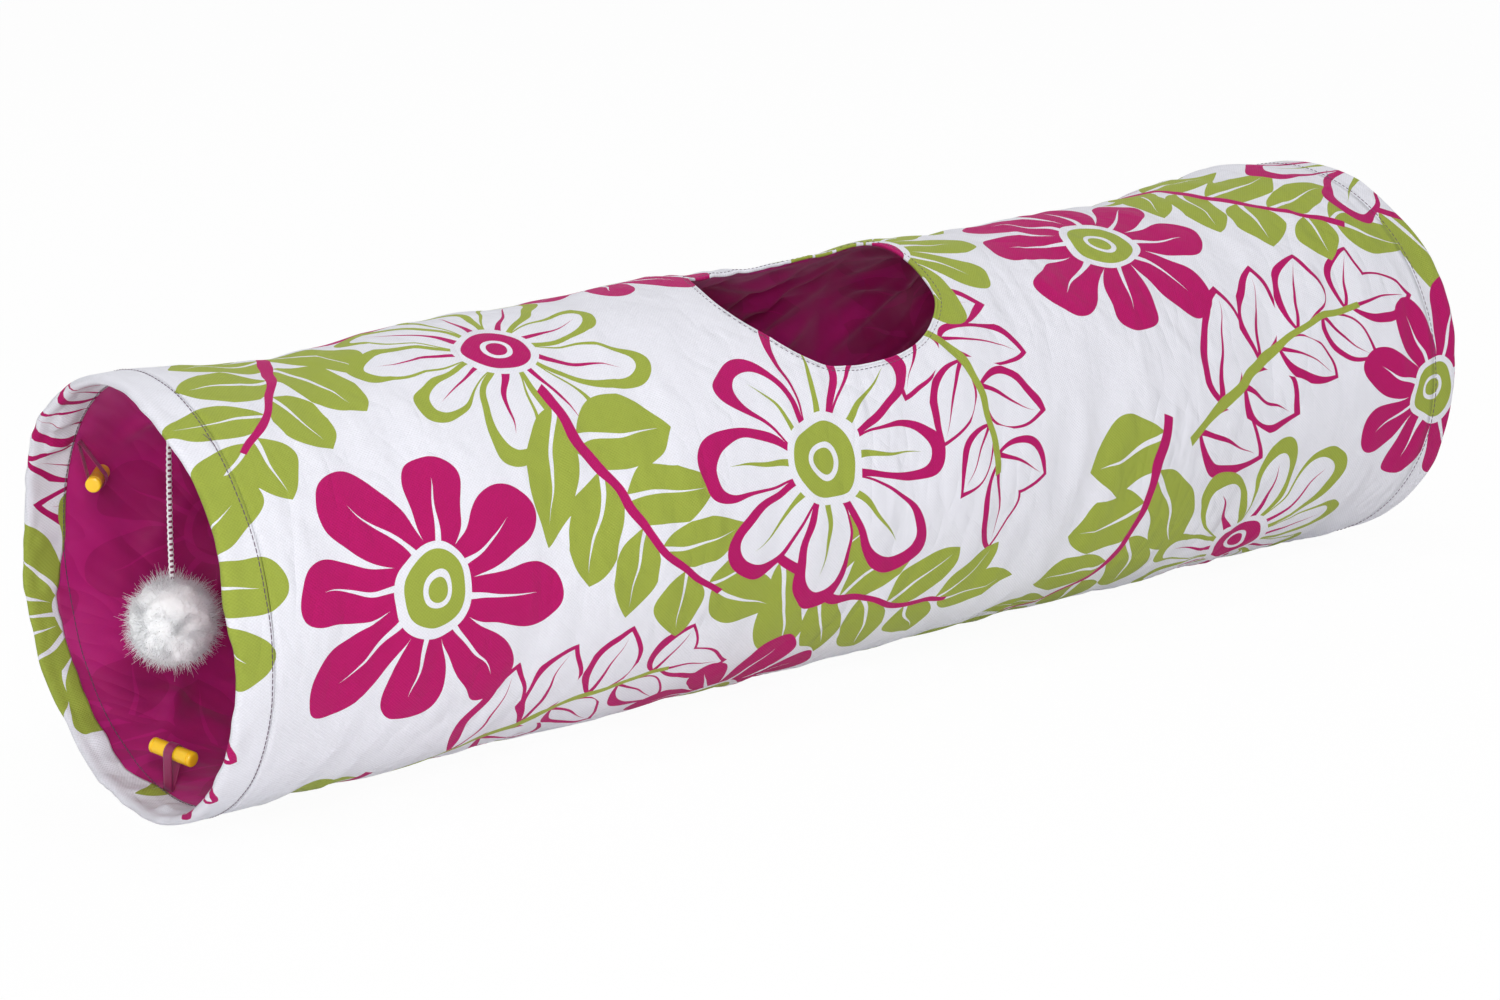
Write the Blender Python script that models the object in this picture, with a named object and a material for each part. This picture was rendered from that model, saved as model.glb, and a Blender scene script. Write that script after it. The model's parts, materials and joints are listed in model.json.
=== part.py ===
"""Cat tunnel: a printed cloth tube held open by a spiral spring wire, with a hooped hem at each end,
a peephole in its top, a pompom on an elastic string at its mouth, and toggles that close it when folded.

The tunnel lies along X on the floor z = 0, its mouth towards -X, and the viewer stands on the -Y side.
Angles round the tunnel start at the top and grow towards the viewer.
"""

import math

import bmesh
import bpy
from mathutils import Matrix, Vector

# Overall sizes
tunnel_length = 0.930
body_diameter = 0.2548
mouth_narrowing = 0.0048
far_widening = 0.0212
far_heightening = 0.0092
mouth_flare_length = 0.080
far_flare_length = 0.160

# Cloth, wire and the clearance between pieces that touch
cover_wall = 0.0008
lining_wall = 0.0005
seat_gap = 0.0003
spring_wire_diameter = 0.0022
wire_turns = 5
bay_sag = 0.005
floor_sag_share = 0.4
section_sides = 28
start_side = 1
cloth_columns = 4

# Hems and the hoops inside them
hem_depth = 0.021
hem_fold_depth = 0.0235
fold_clearance = 0.0006
hem_round_steps = 6
hoop_wire_diameter = 0.0022
ferrule_diameter = 0.0033
ferrule_length = 0.020
ferrule_side = 11

# Peephole, midway between two turns of the wire
hole_wire_clearance = 0.0065
hole_half_width = 0.063
turns_before_hole = 1.5
hole_angle = math.radians(18)
hole_points = 40
facing_wall = 0.0010
facing_stand = 0.0004

# Toggles and the ribbon loops that hold them
toggle_length = 0.030
toggle_diameter = 0.009
toggle_cap_length = 0.0022
toggle_groove_width = 0.0006
toggle_groove_depth = 0.0004
toggle_rounding = 0.0008
toggle_ribbon_length = 0.0235
toggle_angles = (math.radians(-57), math.radians(-174), math.radians(62))
toggle_hang_shares = ((0.31, -0.24, -0.91), (0.14, -0.08, 0.99), (0.31, 0.24, -0.91))
toggle_rod_shares = ((0.59, 0.77, -0.01), (0.36, -0.92, -0.15), (0.59, -0.77, -0.01))
ribbon_width = 0.006
ribbon_thickness = 0.0006
ribbon_leg_gap = 0.0004
ribbon_pivot_rise = 0.0018
ribbon_root_clearance = 0.0025
eye_steps = 14
eye_neck_share = 1.3

# Button loops at the far end
loop_turn = math.radians(27)
loop_length = 0.0155
loop_eye_half_height = 0.0077
loop_eye_half_width = 0.0057
loop_hang_shares = ((0, 0, -1), (0, 0, 1), (0, 1, 0))
loop_face_shares = ((0, 1, 0), (0, 1, 0), (0, 0, 1))

# Pompom on its string, with depths from the mouth's rim
pompom_diameter = 0.051
pompom_depth = 0.0265
string_top_depth = 0.0305
string_bottom_depth = 0.0265
string_side = 0.004
string_length = 0.108
string_diameter = 0.003
string_points = 15
knot_diameter = 0.005

# Derived places
mouth_diameter = body_diameter - mouth_narrowing
far_width = body_diameter + far_widening
far_height = body_diameter + far_heightening
half_length = tunnel_length / 2
cloth_start = -half_length + hem_depth + seat_gap
cloth_end = half_length - hem_depth - seat_gap
side_step = 2 * math.pi / section_sides
wire_pitch = (cloth_end - cloth_start) * section_sides / (wire_turns * section_sides + 2)
wire_inset = cover_wall + seat_gap + spring_wire_diameter / 2
lining_inset = cover_wall + 2 * seat_gap + spring_wire_diameter
lining_inner_inset = lining_inset + lining_wall
fold_inset = lining_inner_inset + fold_clearance
fold_inner_inset = fold_inset + cover_wall
hoop_inset = (cover_wall + fold_inset) / 2
weld_distance = seat_gap / 30
ribbon_eye_radius = toggle_diameter / 2 + seat_gap + ribbon_thickness / 2


def side_angle(step):
    return -(start_side + step) * side_step - side_step / 2


def wire_x(step):
    return cloth_start + wire_pitch * (step + 1) / section_sides


hole_step = ((side_angle(0) - hole_angle) / side_step) % section_sides
hole_centre_x = wire_x(hole_step) + wire_pitch * turns_before_hole
hole_half_length = wire_pitch / 2 - hole_wire_clearance


def clear_scene():
    for item in list(bpy.data.objects):
        bpy.data.objects.remove(item, do_unlink=True)


def make_material(name, color, roughness, metallic=0.0):
    material = bpy.data.materials.new(name)
    material.use_nodes = True
    shader = material.node_tree.nodes["Principled BSDF"]
    shader.inputs["Base Color"].default_value = (*color, 1.0)
    shader.inputs["Roughness"].default_value = roughness
    shader.inputs["Metallic"].default_value = metallic
    return material


def add_object(name, mesh, material, origin=None):
    """Link a mesh as a named object. Its vertices are in world space and move to the given origin."""
    if origin is not None:
        mesh.transform(Matrix.Translation(-Vector(origin)))
    mesh.materials.append(material)
    mesh.shade_smooth()
    mesh.set_sharp_from_angle(angle=math.radians(40))
    item = bpy.data.objects.new(name, mesh)
    bpy.context.collection.objects.link(item)
    if origin is not None:
        item.location = origin
    return item


def mesh_from_bmesh(name, shape):
    bmesh.ops.recalc_face_normals(shape, faces=shape.faces[:])
    mesh = bpy.data.meshes.new(name)
    shape.to_mesh(mesh)
    shape.free()
    return mesh


def smooth(share):
    share = min(max(share, 0.0), 1.0)
    return share * share * (3 - 2 * share)


def section(x):
    """Half width and half height of the cover's outside at x."""
    leaving = smooth((x - cloth_start) / mouth_flare_length)
    nearing = smooth((x - cloth_end + far_flare_length) / far_flare_length)
    body = (mouth_diameter + (body_diameter - mouth_diameter) * leaving) / 2
    half_width = body + (far_width / 2 - body) * nearing
    half_height = body + (far_height / 2 - body) * nearing
    return half_width, half_height


def tunnel_point(x, angle, inset):
    """Point on the many-sided tunnel, inset from its outside. A side lies flat on the floor."""
    half_width, half_height = section(x)
    off_middle = angle - round(angle / side_step) * side_step
    spread = 1 / math.cos(off_middle)
    y = -(half_width - inset) * spread * math.sin(angle)
    z = half_height + (half_height - inset) * spread * math.cos(angle)
    return Vector((x, y, z))


def bay_drop(share, width, angle):
    """How far a ribbon of cloth between two turns sinks inwards, most at the top of the tunnel."""
    top_share = floor_sag_share + (1 - floor_sag_share) * (1 + math.cos(angle)) / 2
    return bay_sag * top_share * (width / wire_pitch) ** 2 * math.sin(math.pi * share) ** 2


def cloth_sag(x, angle):
    """The same drop at any x, found from the two wire turns that lie beside it."""
    first = ((side_angle(0) - angle) / side_step) % section_sides
    lower = cloth_start
    upper = wire_x(first)
    while upper < x and upper < cloth_end:
        lower = upper
        upper = min(upper + wire_pitch, cloth_end)
    width = max(upper - lower, seat_gap)
    share = min(max((x - lower) / width, 0.0), 1.0)
    return bay_drop(share, width, angle)


def cloth_sleeve(name, inset, wall, material):
    """A sleeve whose rows follow the wire: each ribbon of cloth runs from one turn to the next."""
    shape = bmesh.new()
    rows = []
    for step in range(-1, (wire_turns + 1) * section_sides + 2):
        angle = side_angle(step)
        lower = max(cloth_start, wire_x(step - section_sides))
        upper = min(cloth_end, wire_x(step))
        row = []
        for column in range(cloth_columns + 1):
            share = column / cloth_columns
            x = lower + (upper - lower) * share
            sag = bay_drop(share, upper - lower, angle)
            outer = shape.verts.new(tunnel_point(x, angle, inset + sag))
            inner = shape.verts.new(tunnel_point(x, angle, inset + wall + sag))
            row.append((outer, inner))
        rows.append((lower, upper, row))
    for (lower, upper, row), (next_lower, next_upper, after) in zip(rows, rows[1:]):
        for column in range(cloth_columns):
            outer_side = (row[column][0], row[column + 1][0], after[column + 1][0], after[column][0])
            inner_side = (row[column][1], after[column][1], after[column + 1][1], row[column + 1][1])
            shape.faces.new(outer_side)
            shape.faces.new(inner_side)
        if lower == next_lower == cloth_start:
            shape.faces.new((row[0][0], after[0][0], after[0][1], row[0][1]))
        if upper == next_upper == cloth_end:
            shape.faces.new((row[-1][0], row[-1][1], after[-1][1], after[-1][0]))
    bmesh.ops.remove_doubles(shape, verts=shape.verts[:], dist=weld_distance)
    bmesh.ops.dissolve_degenerate(shape, edges=shape.edges[:], dist=weld_distance)
    return add_object(name, mesh_from_bmesh(name, shape), material)


def tube_along(name, points, diameter, material, round_level, origin=None):
    """A round wire or string along given points, with filled ends."""
    start = Vector(origin) if origin is not None else Vector()
    curve = bpy.data.curves.new(name, "CURVE")
    curve.dimensions = "3D"
    curve.bevel_depth = diameter / 2
    curve.bevel_resolution = round_level
    curve.use_fill_caps = True
    spline = curve.splines.new("POLY")
    spline.points.add(len(points) - 1)
    for target, point in zip(spline.points, points):
        target.co = (*(Vector(point) - start), 1.0)
    spline.use_smooth = True
    curve.materials.append(material)
    item = bpy.data.objects.new(name, curve)
    item.location = start
    bpy.context.collection.objects.link(item)
    return item


def spring_wire(material):
    points = []
    for step in range(wire_turns * section_sides + 1):
        points.append(tunnel_point(wire_x(step), side_angle(step), wire_inset))
    # Least gap between a turn and the next one, measured on the points themselves
    spans = []
    for index, point in enumerate(points):
        for other in points[index + section_sides // 2:]:
            spans.append((other - point).length)
    print("least gap of the spring wire to itself, mm:", (min(spans) - spring_wire_diameter) * 1000)
    return tube_along("spring_wire", points, spring_wire_diameter, material, 1)


def hem_profile():
    """Outline of the folded hem: (depth from the rim, inset from the outside)."""
    outer_radius = fold_inner_inset / 2
    inner_radius = outer_radius - cover_wall
    outline = [(hem_depth, 0.0)]
    for index in range(hem_round_steps + 1):
        turn = math.pi * index / hem_round_steps
        depth = outer_radius - outer_radius * math.sin(turn)
        outline.append((depth, outer_radius - outer_radius * math.cos(turn)))
    outline.append((hem_fold_depth, fold_inner_inset))
    outline.append((hem_fold_depth, fold_inset))
    for index in range(hem_round_steps + 1):
        turn = math.pi * (1 - index / hem_round_steps)
        depth = outer_radius - inner_radius * math.sin(turn)
        outline.append((depth, outer_radius - inner_radius * math.cos(turn)))
    outline.append((hem_depth, cover_wall))
    return outline


def end_hem(name, side, material):
    """The cover's end, folded inwards round its hoop. side is -1 at the mouth and 1 at the far end."""
    shape = bmesh.new()
    outline = hem_profile()
    rings = []
    for step in range(section_sides):
        angle = side_angle(step)
        ring = []
        for depth, inset in outline:
            at_end = tunnel_point(side * half_length, angle, inset)
            at_end.x = side * (half_length - depth)
            ring.append(shape.verts.new(at_end))
        rings.append(ring)
    for index, ring in enumerate(rings):
        after = rings[(index + 1) % section_sides]
        for spot in range(len(outline)):
            following = (spot + 1) % len(outline)
            shape.faces.new((ring[spot], ring[following], after[following], after[spot]))
    return add_object(name, mesh_from_bmesh(name, shape), material)


def hoop_middle(side):
    """Ends of the flat side of the hoop that carries the ferrule."""
    x = side * (half_length - fold_inner_inset / 2)
    before = tunnel_point(side * half_length, side_angle(ferrule_side), hoop_inset)
    after = tunnel_point(side * half_length, side_angle(ferrule_side + 1), hoop_inset)
    before.x = x
    after.x = x
    return before, after


def end_hoop(name, side, material):
    """A ring of spring wire whose two ends meet in the ferrule."""
    before, after = hoop_middle(side)
    along = (after - before).normalized()
    middle = (before + after) / 2
    reach = ferrule_length / 2 + seat_gap
    points = [middle + along * reach]
    for step in range(ferrule_side + 1, ferrule_side + 1 + section_sides):
        point = tunnel_point(side * half_length, side_angle(step), hoop_inset)
        point.x = before.x
        points.append(point)
    points.append(middle - along * reach)
    return tube_along(name, points, hoop_wire_diameter, material, 1)


def hoop_ferrule(name, side, material):
    """The crimped sleeve that closes the hoop."""
    before, after = hoop_middle(side)
    middle = (before + after) / 2
    neck = (ferrule_diameter + hoop_wire_diameter) / 4
    profile = []
    crimp_shares = ((-1.0, 0.7), (-0.9, 1.0), (-0.5, 1.0), (-0.4, 0.0), (-0.3, 1.0),
                    (0.3, 1.0), (0.4, 0.0), (0.5, 1.0), (0.9, 1.0), (1.0, 0.7))
    for place_share, full_share in crimp_shares:
        radius = neck + (ferrule_diameter / 2 - neck) * full_share
        profile.append((ferrule_length / 2 * place_share, radius))
    return lathe(name, profile, middle, after - before, 12, material)


def lathe(name, profile, centre, axis, sides, material):
    """Turn (place along the axis, radius) points into a closed solid."""
    shape = bmesh.new()
    turn = Vector(axis).to_track_quat("X", "Z").to_matrix().to_4x4()
    rings = []
    for place, radius in profile:
        ring = []
        for side in range(sides):
            angle = 2 * math.pi * side / sides
            local = Vector((place, radius * math.cos(angle), radius * math.sin(angle)))
            ring.append(shape.verts.new(turn @ local))
        rings.append(ring)
    for ring, after in zip(rings, rings[1:]):
        for side in range(sides):
            following = (side + 1) % sides
            shape.faces.new((ring[side], ring[following], after[following], after[side]))
    shape.faces.new(rings[0])
    shape.faces.new(rings[-1])
    mesh = mesh_from_bmesh(name, shape)
    mesh.transform(Matrix.Translation(Vector(centre)))
    return add_object(name, mesh, material, centre)


def hole_outline(grow):
    """The oval of the peephole, grown evenly: (x, distance across its own middle line)."""
    outline = []
    for index in range(hole_points):
        angle = 2 * math.pi * index / hole_points
        x = hole_centre_x + (hole_half_length + grow) * math.cos(angle)
        outline.append((x, (hole_half_width + grow) * math.sin(angle)))
    return outline


def hole_point(x, across, inset):
    """Where a line through the peephole's outline, along its middle direction, meets the cloth."""
    centre = Vector((x, 0.0, section(x)[1]))
    angle = hole_angle
    for _ in range(4):
        reach = (tunnel_point(x, angle, inset + cloth_sag(x, angle)) - centre).length
        angle = hole_angle + math.asin(across / reach)
    return centre + Vector((0.0, -math.sin(angle), math.cos(angle))) * reach


def hole_cutter():
    outward = Vector((0.0, -math.sin(hole_angle), math.cos(hole_angle)))
    sideways = Vector((0.0, -math.cos(hole_angle), -math.sin(hole_angle)))
    middle = Vector((0.0, 0.0, body_diameter / 2))
    shape = bmesh.new()
    low = []
    high = []
    for x, across in hole_outline(facing_wall + seat_gap):
        foot = Vector((x, 0.0, 0.0)) + middle + sideways * across
        low.append(shape.verts.new(foot + outward * body_diameter / 4))
        high.append(shape.verts.new(foot + outward * body_diameter))
    for index in range(hole_points):
        following = (index + 1) % hole_points
        shape.faces.new((low[index], low[following], high[following], high[index]))
    shape.faces.new(low)
    shape.faces.new(high)
    mesh = mesh_from_bmesh("hole_cutter", shape)
    cutter = bpy.data.objects.new("hole_cutter", mesh)
    bpy.context.collection.objects.link(cutter)
    cutter.hide_render = True
    cutter.display_type = "WIRE"
    return cutter


def cut_hole(item, cutter):
    modifier = item.modifiers.new("peephole", "BOOLEAN")
    modifier.operation = "DIFFERENCE"
    modifier.solver = "EXACT"
    modifier.object = cutter


def peephole_facing(material):
    """The turned edge that closes cover and lining together round the peephole."""
    shape = bmesh.new()
    inner_outline = hole_outline(0.0)
    outer_outline = hole_outline(facing_wall)
    rings = []
    for inner, outer in zip(inner_outline, outer_outline):
        top = -facing_stand
        bottom = lining_inner_inset + facing_stand
        corners = (hole_point(*outer, top), hole_point(*outer, bottom),
                   hole_point(*inner, bottom), hole_point(*inner, top))
        rings.append([shape.verts.new(corner) for corner in corners])
    for index, ring in enumerate(rings):
        after = rings[(index + 1) % hole_points]
        for corner in range(4):
            following = (corner + 1) % 4
            shape.faces.new((ring[corner], ring[following], after[following], after[corner]))
    return add_object("peephole_facing", mesh_from_bmesh("peephole_facing", shape), material)


def eye_path(length, half_height, half_width, necked):
    """Middle line of a folded ribbon in its own plane: (across, along), root first.

    A necked one keeps its legs together up to the eye. Otherwise they run straight to the eye's sides.
    """
    leg = (ribbon_leg_gap + ribbon_thickness) / 2
    spread = math.asin(leg / half_width) if necked else math.acos(half_height / length)
    path = [(-leg, 0.0)]
    if necked:
        path.append((-leg, length - half_height * eye_neck_share))
    for index in range(eye_steps + 1):
        angle = -math.pi / 2 - spread - (2 * math.pi - 2 * spread) * index / eye_steps
        path.append((half_width * math.cos(angle), length + half_height * math.sin(angle)))
    if necked:
        path.append((leg, length - half_height * eye_neck_share))
    path.append((leg, 0.0))
    return path


def ribbon_place(side, angle, hang_share, face_share):
    """Root, hanging direction, width direction and thickness direction of a sewn ribbon."""
    hang = Vector(hang_share).normalized()
    face = Vector(face_share)
    face = (face - hang * face.dot(hang)).normalized()
    edge = face.cross(hang)
    outward = Vector((0.0, -math.sin(angle), math.cos(angle)))
    x = side * (half_length - hem_fold_depth - ribbon_root_clearance)
    half_stack = ribbon_thickness + ribbon_leg_gap / 2
    inset = lining_inner_inset + seat_gap + cloth_sag(x, angle)
    inset += abs(face.dot(outward)) * ribbon_width / 2 + abs(edge.dot(outward)) * half_stack
    return tunnel_point(x, angle, inset), hang, face, edge


def sewn_ribbon(name, place, path, material):
    """A flat ribbon swept along a path in its own plane, with its origin on its hinge."""
    root, hang, face, edge = place
    shape = bmesh.new()
    rings = []
    for index, (across, along) in enumerate(path):
        before = Vector(path[max(index - 1, 0)])
        after = Vector(path[min(index + 1, len(path) - 1)])
        course = (after - before).normalized()
        normal = Vector((-course.y, course.x)) * ribbon_thickness / 2
        ring = []
        for out, wide in ((1, 1), (1, -1), (-1, -1), (-1, 1)):
            spot = Vector((across, along)) + normal * out
            ring.append(shape.verts.new(root + edge * spot.x + hang * spot.y + face * wide * ribbon_width / 2))
        rings.append(ring)
    for ring, after in zip(rings, rings[1:]):
        for corner in range(4):
            following = (corner + 1) % 4
            shape.faces.new((ring[corner], ring[following], after[following], after[corner]))
    shape.faces.new(rings[0])
    shape.faces.new(rings[-1])
    hinge = root + hang * ribbon_pivot_rise
    return add_object(name, mesh_from_bmesh(name, shape), material, hinge)


def toggle(name, place, material):
    """A plastic rod with a shallow groove before each rounded end, through the eye of its ribbon."""
    root, hang, face, edge = place
    radius = toggle_diameter / 2
    half = toggle_length / 2
    groove = half - toggle_cap_length
    profile = [(half, radius - toggle_rounding), (half - toggle_rounding / 2, radius - toggle_rounding / 4),
               (half - toggle_rounding, radius), (groove, radius),
               (groove - toggle_groove_width / 4, radius - toggle_groove_depth),
               (groove - toggle_groove_width * 3 / 4, radius - toggle_groove_depth),
               (groove - toggle_groove_width, radius)]
    mirrored = [(-place_along, size) for place_along, size in reversed(profile)]
    return lathe(name, profile + mirrored, root + hang * toggle_ribbon_length, face, 16, material)


def toggles_and_ribbons(ribbon_material, toggle_material):
    path = eye_path(toggle_ribbon_length, ribbon_eye_radius, ribbon_eye_radius, False)
    for number, angle in enumerate(toggle_angles):
        place = ribbon_place(-1, angle, toggle_hang_shares[number], toggle_rod_shares[number])
        ribbon = sewn_ribbon(f"toggle_ribbon_{number + 1}", place, path, ribbon_material)
        rod = toggle(f"toggle_{number + 1}", place, toggle_material)
        print(ribbon.name, "hinge", tuple(ribbon.location), "axis", tuple(place[2]))
        print(rod.name, "centre", tuple(rod.location))


def button_loops(material):
    path = eye_path(loop_length, loop_eye_half_height, loop_eye_half_width, True)
    for number, angle in enumerate(toggle_angles):
        place = ribbon_place(1, angle + loop_turn, loop_hang_shares[number], loop_face_shares[number])
        loop = sewn_ribbon(f"button_loop_{number + 1}", place, path, material)
        middle = place[0] + place[1] * loop_length
        print(loop.name, "hinge", tuple(loop.location), "axis", tuple(place[2]), "eye", tuple(middle))


def pompom_and_string(string_material, fluff_material):
    knot_radius = knot_diameter / 2
    knot_x = string_top_depth - half_length
    angle = math.asin(string_side / (mouth_diameter / 2))
    inset = lining_inner_inset + cloth_sag(knot_x, angle) + seat_gap + knot_radius
    knot_centre = tunnel_point(knot_x, angle, inset)
    ball("string_knot", knot_centre, knot_diameter, 10, 7, string_material)
    top = knot_centre.z - knot_radius - seat_gap
    route = []
    for index in range(string_points):
        share = index / (string_points - 1)
        x = knot_x + (string_bottom_depth - string_top_depth) * math.sin(math.pi / 2 * share)
        route.append(Vector((x, knot_centre.y, top - string_length * share)))
    tube_along("pompom_string", route, string_diameter, string_material, 2, knot_centre)
    height = top - string_length - seat_gap - pompom_diameter / 2
    pompom_centre = Vector((pompom_depth - half_length, knot_centre.y, height))
    ball("pompom", pompom_centre, pompom_diameter, 20, 12, fluff_material)
    print("knot centre", tuple(knot_centre), "pompom centre", tuple(pompom_centre))


def ball(name, centre, diameter, around, rings, material):
    shape = bmesh.new()
    bmesh.ops.create_uvsphere(shape, u_segments=around, v_segments=rings, radius=diameter / 2)
    mesh = mesh_from_bmesh(name, shape)
    mesh.transform(Matrix.Translation(centre))
    return add_object(name, mesh, material, centre)


def build():
    clear_scene()
    printed_canvas = make_material("printed_canvas", (0.80, 0.80, 0.86), 0.85)
    far_canvas = make_material("far_canvas", (0.80, 0.80, 0.86), 0.85)
    mouth_canvas = make_material("mouth_canvas", (0.80, 0.80, 0.86), 0.85)
    lining_cloth = make_material("lining_cloth", (0.36, 0.01, 0.10), 0.55)
    facing_cloth = make_material("facing_cloth", (0.75, 0.75, 0.80), 0.85)
    spring_steel = make_material("spring_steel", (0.35, 0.35, 0.36), 0.35, 1.0)
    ferrule_steel = make_material("ferrule_steel", (0.55, 0.55, 0.56), 0.40, 1.0)
    string_elastic = make_material("string_elastic", (0.80, 0.78, 0.80), 0.70)
    pompom_fluff = make_material("pompom_fluff", (0.90, 0.90, 0.92), 0.95)
    ribbon_satin = make_material("ribbon_satin", (0.28, 0.01, 0.10), 0.50)
    toggle_plastic = make_material("toggle_plastic", (0.93, 0.50, 0.01), 0.35)
    cutter = hole_cutter()
    cut_hole(cloth_sleeve("outer_cover", 0.0, cover_wall, printed_canvas), cutter)
    cut_hole(cloth_sleeve("lining", lining_inset, lining_wall, lining_cloth), cutter)
    peephole_facing(facing_cloth)
    spring_wire(spring_steel)
    for name, side, canvas in (("mouth", -1, mouth_canvas), ("far", 1, far_canvas)):
        end_hem(f"{name}_hem", side, canvas)
        end_hoop(f"{name}_hoop", side, spring_steel)
        hoop_ferrule(f"{name}_hoop_ferrule", side, ferrule_steel)
    toggles_and_ribbons(ribbon_satin, toggle_plastic)
    button_loops(ribbon_satin)
    pompom_and_string(string_elastic, pompom_fluff)


build()
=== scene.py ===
# %% [markdown]
# # Cat tunnel
# A cat tunnel is a cloth tube that a spiral of spring wire throws open.
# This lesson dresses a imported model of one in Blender: cloth, lining, stitches, toggles and pompom.
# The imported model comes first. It fixes every size and every joint, and the new pieces are laid on it.

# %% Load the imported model
import json
import math

import bpy
import numpy as np
from mathutils import Matrix, Vector, noise


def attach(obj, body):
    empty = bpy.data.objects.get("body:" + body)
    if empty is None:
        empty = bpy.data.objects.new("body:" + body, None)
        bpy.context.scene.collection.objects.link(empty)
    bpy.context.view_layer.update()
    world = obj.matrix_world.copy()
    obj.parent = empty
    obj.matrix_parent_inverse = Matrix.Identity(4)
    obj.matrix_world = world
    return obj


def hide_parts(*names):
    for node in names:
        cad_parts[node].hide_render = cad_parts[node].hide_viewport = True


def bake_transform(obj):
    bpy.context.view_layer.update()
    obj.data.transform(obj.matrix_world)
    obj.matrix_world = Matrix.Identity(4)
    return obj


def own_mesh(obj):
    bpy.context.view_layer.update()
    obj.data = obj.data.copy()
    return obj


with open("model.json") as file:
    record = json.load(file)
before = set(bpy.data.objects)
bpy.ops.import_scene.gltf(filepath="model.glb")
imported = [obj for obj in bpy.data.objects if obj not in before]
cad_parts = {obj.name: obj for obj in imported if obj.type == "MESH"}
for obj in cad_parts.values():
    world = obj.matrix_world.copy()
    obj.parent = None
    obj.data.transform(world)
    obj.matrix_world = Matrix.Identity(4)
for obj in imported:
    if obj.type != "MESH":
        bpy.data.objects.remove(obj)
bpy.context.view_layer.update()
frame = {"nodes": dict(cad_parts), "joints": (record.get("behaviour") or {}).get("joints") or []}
joints = {joint["name"]: joint for joint in frame["joints"]}

# %% [markdown]
# ## The view
# The camera stands to the left of the tunnel and a little above it, and looks into the mouth.
# Its place was worked out from the ends of the tunnel in the photograph, with no shift and no tilt.

# %% Camera
camera_data = bpy.data.cameras.new("camera")
camera_data.sensor_fit = "HORIZONTAL"
camera_data.sensor_width = 36.0
camera_data.lens = 78.251
camera = bpy.data.objects.new("camera", camera_data)
camera.location = (-1.23174, -1.54570, 0.67437)
camera.rotation_euler = (math.radians(90 - 16.201), 0.0, math.radians(-37.756))
bpy.context.collection.objects.link(camera)
bpy.context.scene.camera = camera
print("camera at", tuple(round(value, 3) for value in camera.location))

# %% [markdown]
# ## The shape that every cloth follows
# The tunnel lies along X on the floor. Angles start at the top and grow towards the viewer.
# The wire winds round it five times, and between two turns the cloth sinks inwards, most at the top.
# One set of formulas gives that shape, so that cover, lining and stitches always fit each other.

# %% Sizes of the tunnel
half_length = 0.465
cloth_end = 0.4437
hem_depth = 0.021
mouth_radius = 0.125
body_radius = 0.1274
far_half_width = 0.138
far_half_height = 0.132
mouth_flare = 0.080
far_flare = 0.160
wire_turns = 5
wire_steps = 28
wire_pitch = 2 * cloth_end * wire_steps / (wire_turns * wire_steps + 2)
wire_radius = 0.0011
wire_inset = 0.0022
cover_wall = 0.0008
lining_inset = 0.0036
sewn_inset = 0.0011
lining_wall = 0.0005
bay_sag = 0.0018
mouth_bay_sag = 0.0070
floor_share = 0.3
slump = 0.0050
far_swell = 0.0042
print("wire pitch", round(wire_pitch, 4))


# %% Section of the tunnel and the sag between two turns
def smooth(share):
    share = np.clip(share, 0.0, 1.0)
    return share * share * (3 - 2 * share)


def half_sizes(x):
    leaving = smooth((x + cloth_end) / mouth_flare)
    nearing = smooth((x - cloth_end + far_flare) / far_flare)
    body = mouth_radius + (body_radius - mouth_radius) * leaving
    return body + (far_half_width - body) * nearing, body + (far_half_height - body) * nearing


def tunnel_point(x, angle, inset):
    half_width, half_height = half_sizes(np.clip(x, -cloth_end, cloth_end))
    y = -(half_width - inset) * np.sin(angle)
    z = half_height + (half_height - inset) * np.cos(angle)
    return np.stack(np.broadcast_arrays(x, y, z), axis=-1)


def wire_angle(turn):
    return -2 * math.pi * turn - math.pi / wire_steps


def bay_place(x, angle):
    """Where a point lies between the two turns of wire beside it: share of the way, and width."""
    first = np.mod((wire_angle(0) - angle) / (2 * math.pi) - 1 / wire_steps, 1.0)
    first_x = -cloth_end + wire_pitch * (first + 1 / wire_steps)
    turn = np.floor((x - first_x) / wire_pitch)
    lower = np.where(turn < 0, -cloth_end, first_x + turn * wire_pitch)
    upper = np.where(turn < 0, first_x, lower + wire_pitch)
    upper = np.minimum(upper, cloth_end)
    width = np.maximum(upper - lower, 0.0003)
    return np.clip((x - lower) / width, 0.0, 1.0), width


def bay_drop(x, angle):
    share, width = bay_place(x, angle)
    top = floor_share + (1 - floor_share) * (1 + np.cos(angle)) / 2
    sag = bay_sag + (mouth_bay_sag - bay_sag) * smooth((-0.235 - x) / 0.050)
    return sag * top * (width / wire_pitch) ** 2 * np.sin(math.pi * share) ** 2


def whole_drop(x, angle):
    """What moves wire and cloths together: a slump behind the mouth, a swell before the far end."""
    top = smooth((np.cos(angle) + 0.2) / 1.2)
    behind_mouth = smooth((x + cloth_end) / 0.075) * smooth((-0.150 - x) / 0.150)
    before_far_end = smooth((x - 0.280) / 0.090) * smooth((cloth_end - x) / 0.040)
    return top * (slump * behind_mouth - far_swell * before_far_end)


# %% [markdown]
# ## Wrinkles
# Cotton canvas keeps soft waves between the turns, and creases from being folded flat.
# Blender's noise, read on the round surface so that it closes, gives both. Near the wire they fade out,
# because the wire holds the cloth tight there.

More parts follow.
